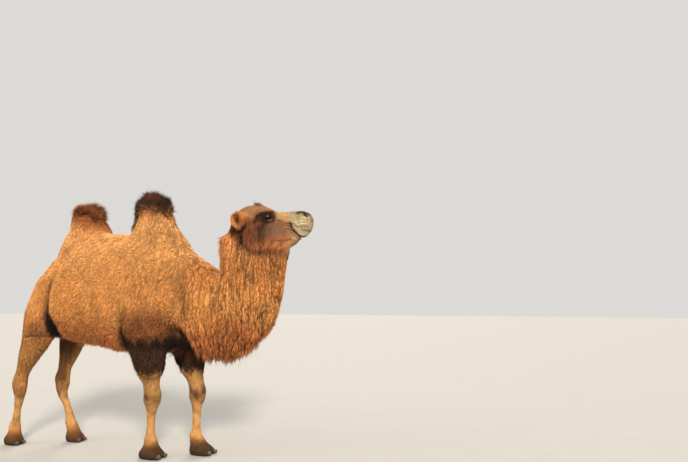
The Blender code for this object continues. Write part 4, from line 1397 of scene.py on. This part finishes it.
def make_coat(skin, weights, nearest, material):
    """Every coat piece, by the part of the body that it grows on."""
    tufts, vertices = grow(skin, weights, np.random.default_rng(8))
    nodes = np.array(FLESH)[nearest[vertices]]
    head = in_head(tufts.root)
    names = np.array([piece_name(*found) for found in zip(nodes, tufts.root - ORIGIN, head)])
    for name in sorted(set(names)):
        part = picked(tufts, names == name)
        piece = coat_piece(name, part, unwrap(part.root), material)


# ---------------------------------------------------------------------------
# Eyes, lashes and toenails
# ---------------------------------------------------------------------------

IRIS_ANGLE = math.radians(44)
PUPIL = (math.radians(20), math.radians(10))
EYE_RINGS = 40
EYE_SEGMENTS = 64
CORNEA_RISE = 0.045
CORNEA_ANGLE = math.radians(30)
LASHES = 70
LASH_LENGTH = 0.024
LASH_WIDTH = 0.0016
NAIL_VOXEL = 0.0015
NAIL_SMOOTHING = 6
NAIL_RINGS = 7
NAIL_RING_DEPTH = 0.00025
NAIL_GRAIN_DEPTH = 0.0002
NAIL_SHRINK = 0.985


def eye_tones(ahead, above):
    """A dark iris with a wide black pupil and a dark rim."""
    turn = np.sqrt(ahead ** 2 + above ** 2)
    tone = np.tile(IRIS_BROWN, (len(turn), 1))
    lay(tone, ease(turn, IRIS_ANGLE * 0.7, IRIS_ANGLE), IRIS_EDGE)
    lay(tone, ease(turn, IRIS_ANGLE, IRIS_ANGLE * 1.12), EYE_WHITE)
    lay(tone, ease(-((ahead / PUPIL[0]) ** 2 + (above / PUPIL[1]) ** 2), -1.25, -0.8), PUPIL_BLACK)
    return tone


def ball_places():
    """Places on a ball one in radius, as rings round the way that it looks, and then its two poles."""
    polar = math.pi * np.linspace(0, 1, EYE_RINGS + 1)[1:-1] ** 1.25
    turns = 2 * math.pi * np.arange(EYE_SEGMENTS) / EYE_SEGMENTS
    polar, turns = (angles.ravel() for angles in np.meshgrid(polar, turns, indexing="ij"))
    rings = np.stack((np.cos(polar), np.sin(polar) * np.cos(turns), np.sin(polar) * np.sin(turns)), 1)
    return np.concatenate([rings, ((1.0, 0.0, 0.0), (-1.0, 0.0, 0.0))])


def ball_faces():
    """The ball's four-cornered faces, and the triangles at its poles."""
    k = np.arange(EYE_SEGMENTS)
    j = (k + 1) % EYE_SEGMENTS
    starts = EYE_SEGMENTS * np.arange(EYE_RINGS - 2)[:, None]
    low, high = starts, starts + EYE_SEGMENTS
    quads = np.stack((low + k, high + k, high + j, low + j), 2).reshape(-1, 4)
    last = EYE_SEGMENTS * (EYE_RINGS - 2)
    front = np.full(EYE_SEGMENTS, last + EYE_SEGMENTS)
    fans = np.concatenate([np.stack((front, k, j), 1), np.stack((front + 1, last + j, last + k), 1)])
    return [quads, fans]


def make_eye(node, material):
    """A fine eyeball with a low cornea, in the place of its CAD solid."""
    eye = eye_of(node)
    local = ball_places()
    turn = np.arccos(np.clip(local[:, 0], -1, 1))
    cornea = 1 + CORNEA_RISE * np.exp(-(turn / CORNEA_ANGLE) ** 2)
    points = eye.centre + (local * (eye.radius * cornea)[:, None]) @ eye.axes
    tones = eye_tones(np.arctan2(local[:, 1], local[:, 0]), np.arcsin(np.clip(local[:, 2], -1, 1)))
    mesh_data, _ = mesh_of(f"{node}_ball", points, ball_faces(), tones)
    if eye.side > 0:
        mesh_data.flip_normals()
    mesh_data.materials.append(material)
    piece = object_of(mesh_data, f"{node}_ball")
    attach(piece, "root")
    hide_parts(node)


def make_nail(node, material):
    """A nail with rounded edges and rings of growth across it."""
    nail = surface_of(melted([node], NAIL_VOXEL, NAIL_SMOOTHING))
    low, high = (np.array(corner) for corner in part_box(node))
    centre = (low + high) / 2
    rise = (nail.points[:, 2] - low[2]) / (high[2] - low[2])
    rings = np.sin(rise * 2 * math.pi * NAIL_RINGS + 2 * ripple(nail.points, 0.02, 31))
    across = ripple(nail.points, 0.004, 32, (4, 1, 4))
    nail.points += nail.normals() * (NAIL_RING_DEPTH * rings + NAIL_GRAIN_DEPTH * across - SWELL)[:, None]
    nail.points = centre + (nail.points - centre) * NAIL_SHRINK
    tones = NAIL_TONE * (1 + 0.12 * rings[:, None]) * (0.7 + 0.5 * rise[:, None])
    mesh_data, _ = mesh_of(f"{node}_horn", nail.points, [nail.triangles], tones)
    mesh_data.materials.append(material)
    piece = object_of(mesh_data, f"{node}_horn")
    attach(piece, "root")
    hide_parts(node)


def make_lashes(node, rng, material):
    """A row of dark lashes along the upper lid, reaching out and down."""
    eye = eye_of(node)
    out, forward, up = eye.axes
    ahead = np.linspace(-0.85, 0.95, LASHES) * OPENING[0]
    middle, half = lid_edges(ahead)
    above = middle + half + math.radians(2)
    spots = np.stack((np.cos(above) * np.cos(ahead), np.cos(above) * np.sin(ahead), np.sin(above)), 1)
    normal = spots @ eye.axes
    roots = eye.centre + normal * (eye.radius + 0.001)
    length = LASH_LENGTH * rng.uniform(0.75, 1.1, LASHES)[:, None]
    fan = forward * (0.5 * np.sin(ahead))[:, None]
    bend = roots + unit(normal + 0.15 * up + fan) * (0.55 * length)
    tip = bend + unit(0.7 * out - 0.75 * up + fan) * (0.5 * length)
    side = unit(np.cross(tip - roots, normal))
    tone = np.tile(LASH_DARK, (LASHES, 1))
    tufts = Tufts(roots, bend, tip, side, normal, np.full(LASHES, LASH_WIDTH), tone, np.ones(LASHES, bool))
    patches = np.stack((np.linspace(0.1, 0.9, LASHES), np.full(LASHES, 0.5)), 1)
    piece = coat_piece(f"lashes_{node}", tufts, patches, material)


# ---------------------------------------------------------------------------
# Floor, light and camera
# ---------------------------------------------------------------------------

FLOOR_HALF = 40.0
# Headings point from the animal to the lamp, and spread is in degrees.
Lamp = collections.namedtuple("Lamp", "name heading spread power colour")
LAMPS = (
    Lamp("key", (0.50, -0.75, 0.48), 12, 4.9, (1.0, 0.90, 0.76)),
    Lamp("fill", (-0.80, -0.55, 0.50), 40, 0.7, (1.0, 0.95, 0.90)),
    Lamp("back", (-0.35, 0.80, 0.70), 30, 1.7, (1.0, 0.95, 0.88)),
)
SKY = (1.0, 0.975, 0.94, 1)
SKY_STRENGTH = 0.72


def make_floor():
    """A broad plain floor."""
    grid = bmesh.new()
    bmesh.ops.create_grid(grid, x_segments=8, y_segments=8, size=FLOOR_HALF)
    mesh_data = bpy.data.meshes.new("floor")
    grid.to_mesh(mesh_data)
    grid.free()
    mesh_data.materials.append(floor_material())
    object_of(mesh_data, "floor")


def make_lights():
    """Three soft suns and a pale sky."""
    for lamp in LAMPS:
        data = bpy.data.lights.new(lamp.name, "SUN")
        data.angle = math.radians(lamp.spread)
        data.energy = lamp.power
        data.color = lamp.colour
        made = object_of(data, lamp.name)
        made.rotation_euler = Vector(lamp.heading).to_track_quat("Z", "Y").to_euler()
    world = bpy.data.worlds.new("pale_sky")
    world.use_nodes = True
    background = world.node_tree.nodes["Background"]
    background.inputs["Color"].default_value = SKY
    background.inputs["Strength"].default_value = SKY_STRENGTH
    bpy.context.scene.world = world
    bpy.context.scene.view_settings.view_transform = "Standard"


def make_camera():
    """The camera that took the photo."""
    data = bpy.data.cameras.new("camera")
    data.sensor_width = 36.0
    data.lens = CAMERA_LENS
    made = object_of(data, "camera")
    made.location = Vector(CAMERA_AT + ORIGIN)
    made.rotation_euler = (math.pi / 2 + CAMERA_PITCH, 0.0, CAMERA_YAW)
    bpy.context.scene.camera = made


# ---------------------------------------------------------------------------
# All together
# ---------------------------------------------------------------------------

def show_skin(skin, weights):
    """The skin as a piece that stands for every flesh node, darker where long hair shades it."""
    shade = 1 - 0.72 * ease(blended(weights, "length"), 0.015, 0.055)
    tones = tones_at(skin.points - ORIGIN, weights) * shade[:, None]
    mesh_data, _ = mesh_of("skin", skin.points, [skin.triangles], tones)
    mesh_data.materials.append(toned_material("short_fur", SHORT_FUR))
    piece = object_of(mesh_data, "skin")
    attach(piece, "root")
    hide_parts(*FLESH)


def main():
    skin, weights, nearest = make_skin()
    show_skin(skin, weights)
    wool = toned_material("wool", WOOL)
    make_coat(skin, weights, nearest, wool)
    wet = toned_material("wet_eye", WET_EYE)
    horn = toned_material("horn", HORN)
    lash_rng = np.random.default_rng(5)
    for node in EYES:
        make_eye(node, wet)
        make_lashes(node, lash_rng, wool)
    for node in NAILS:
        make_nail(node, horn)
    make_floor()
    make_lights()
    make_camera()


main()
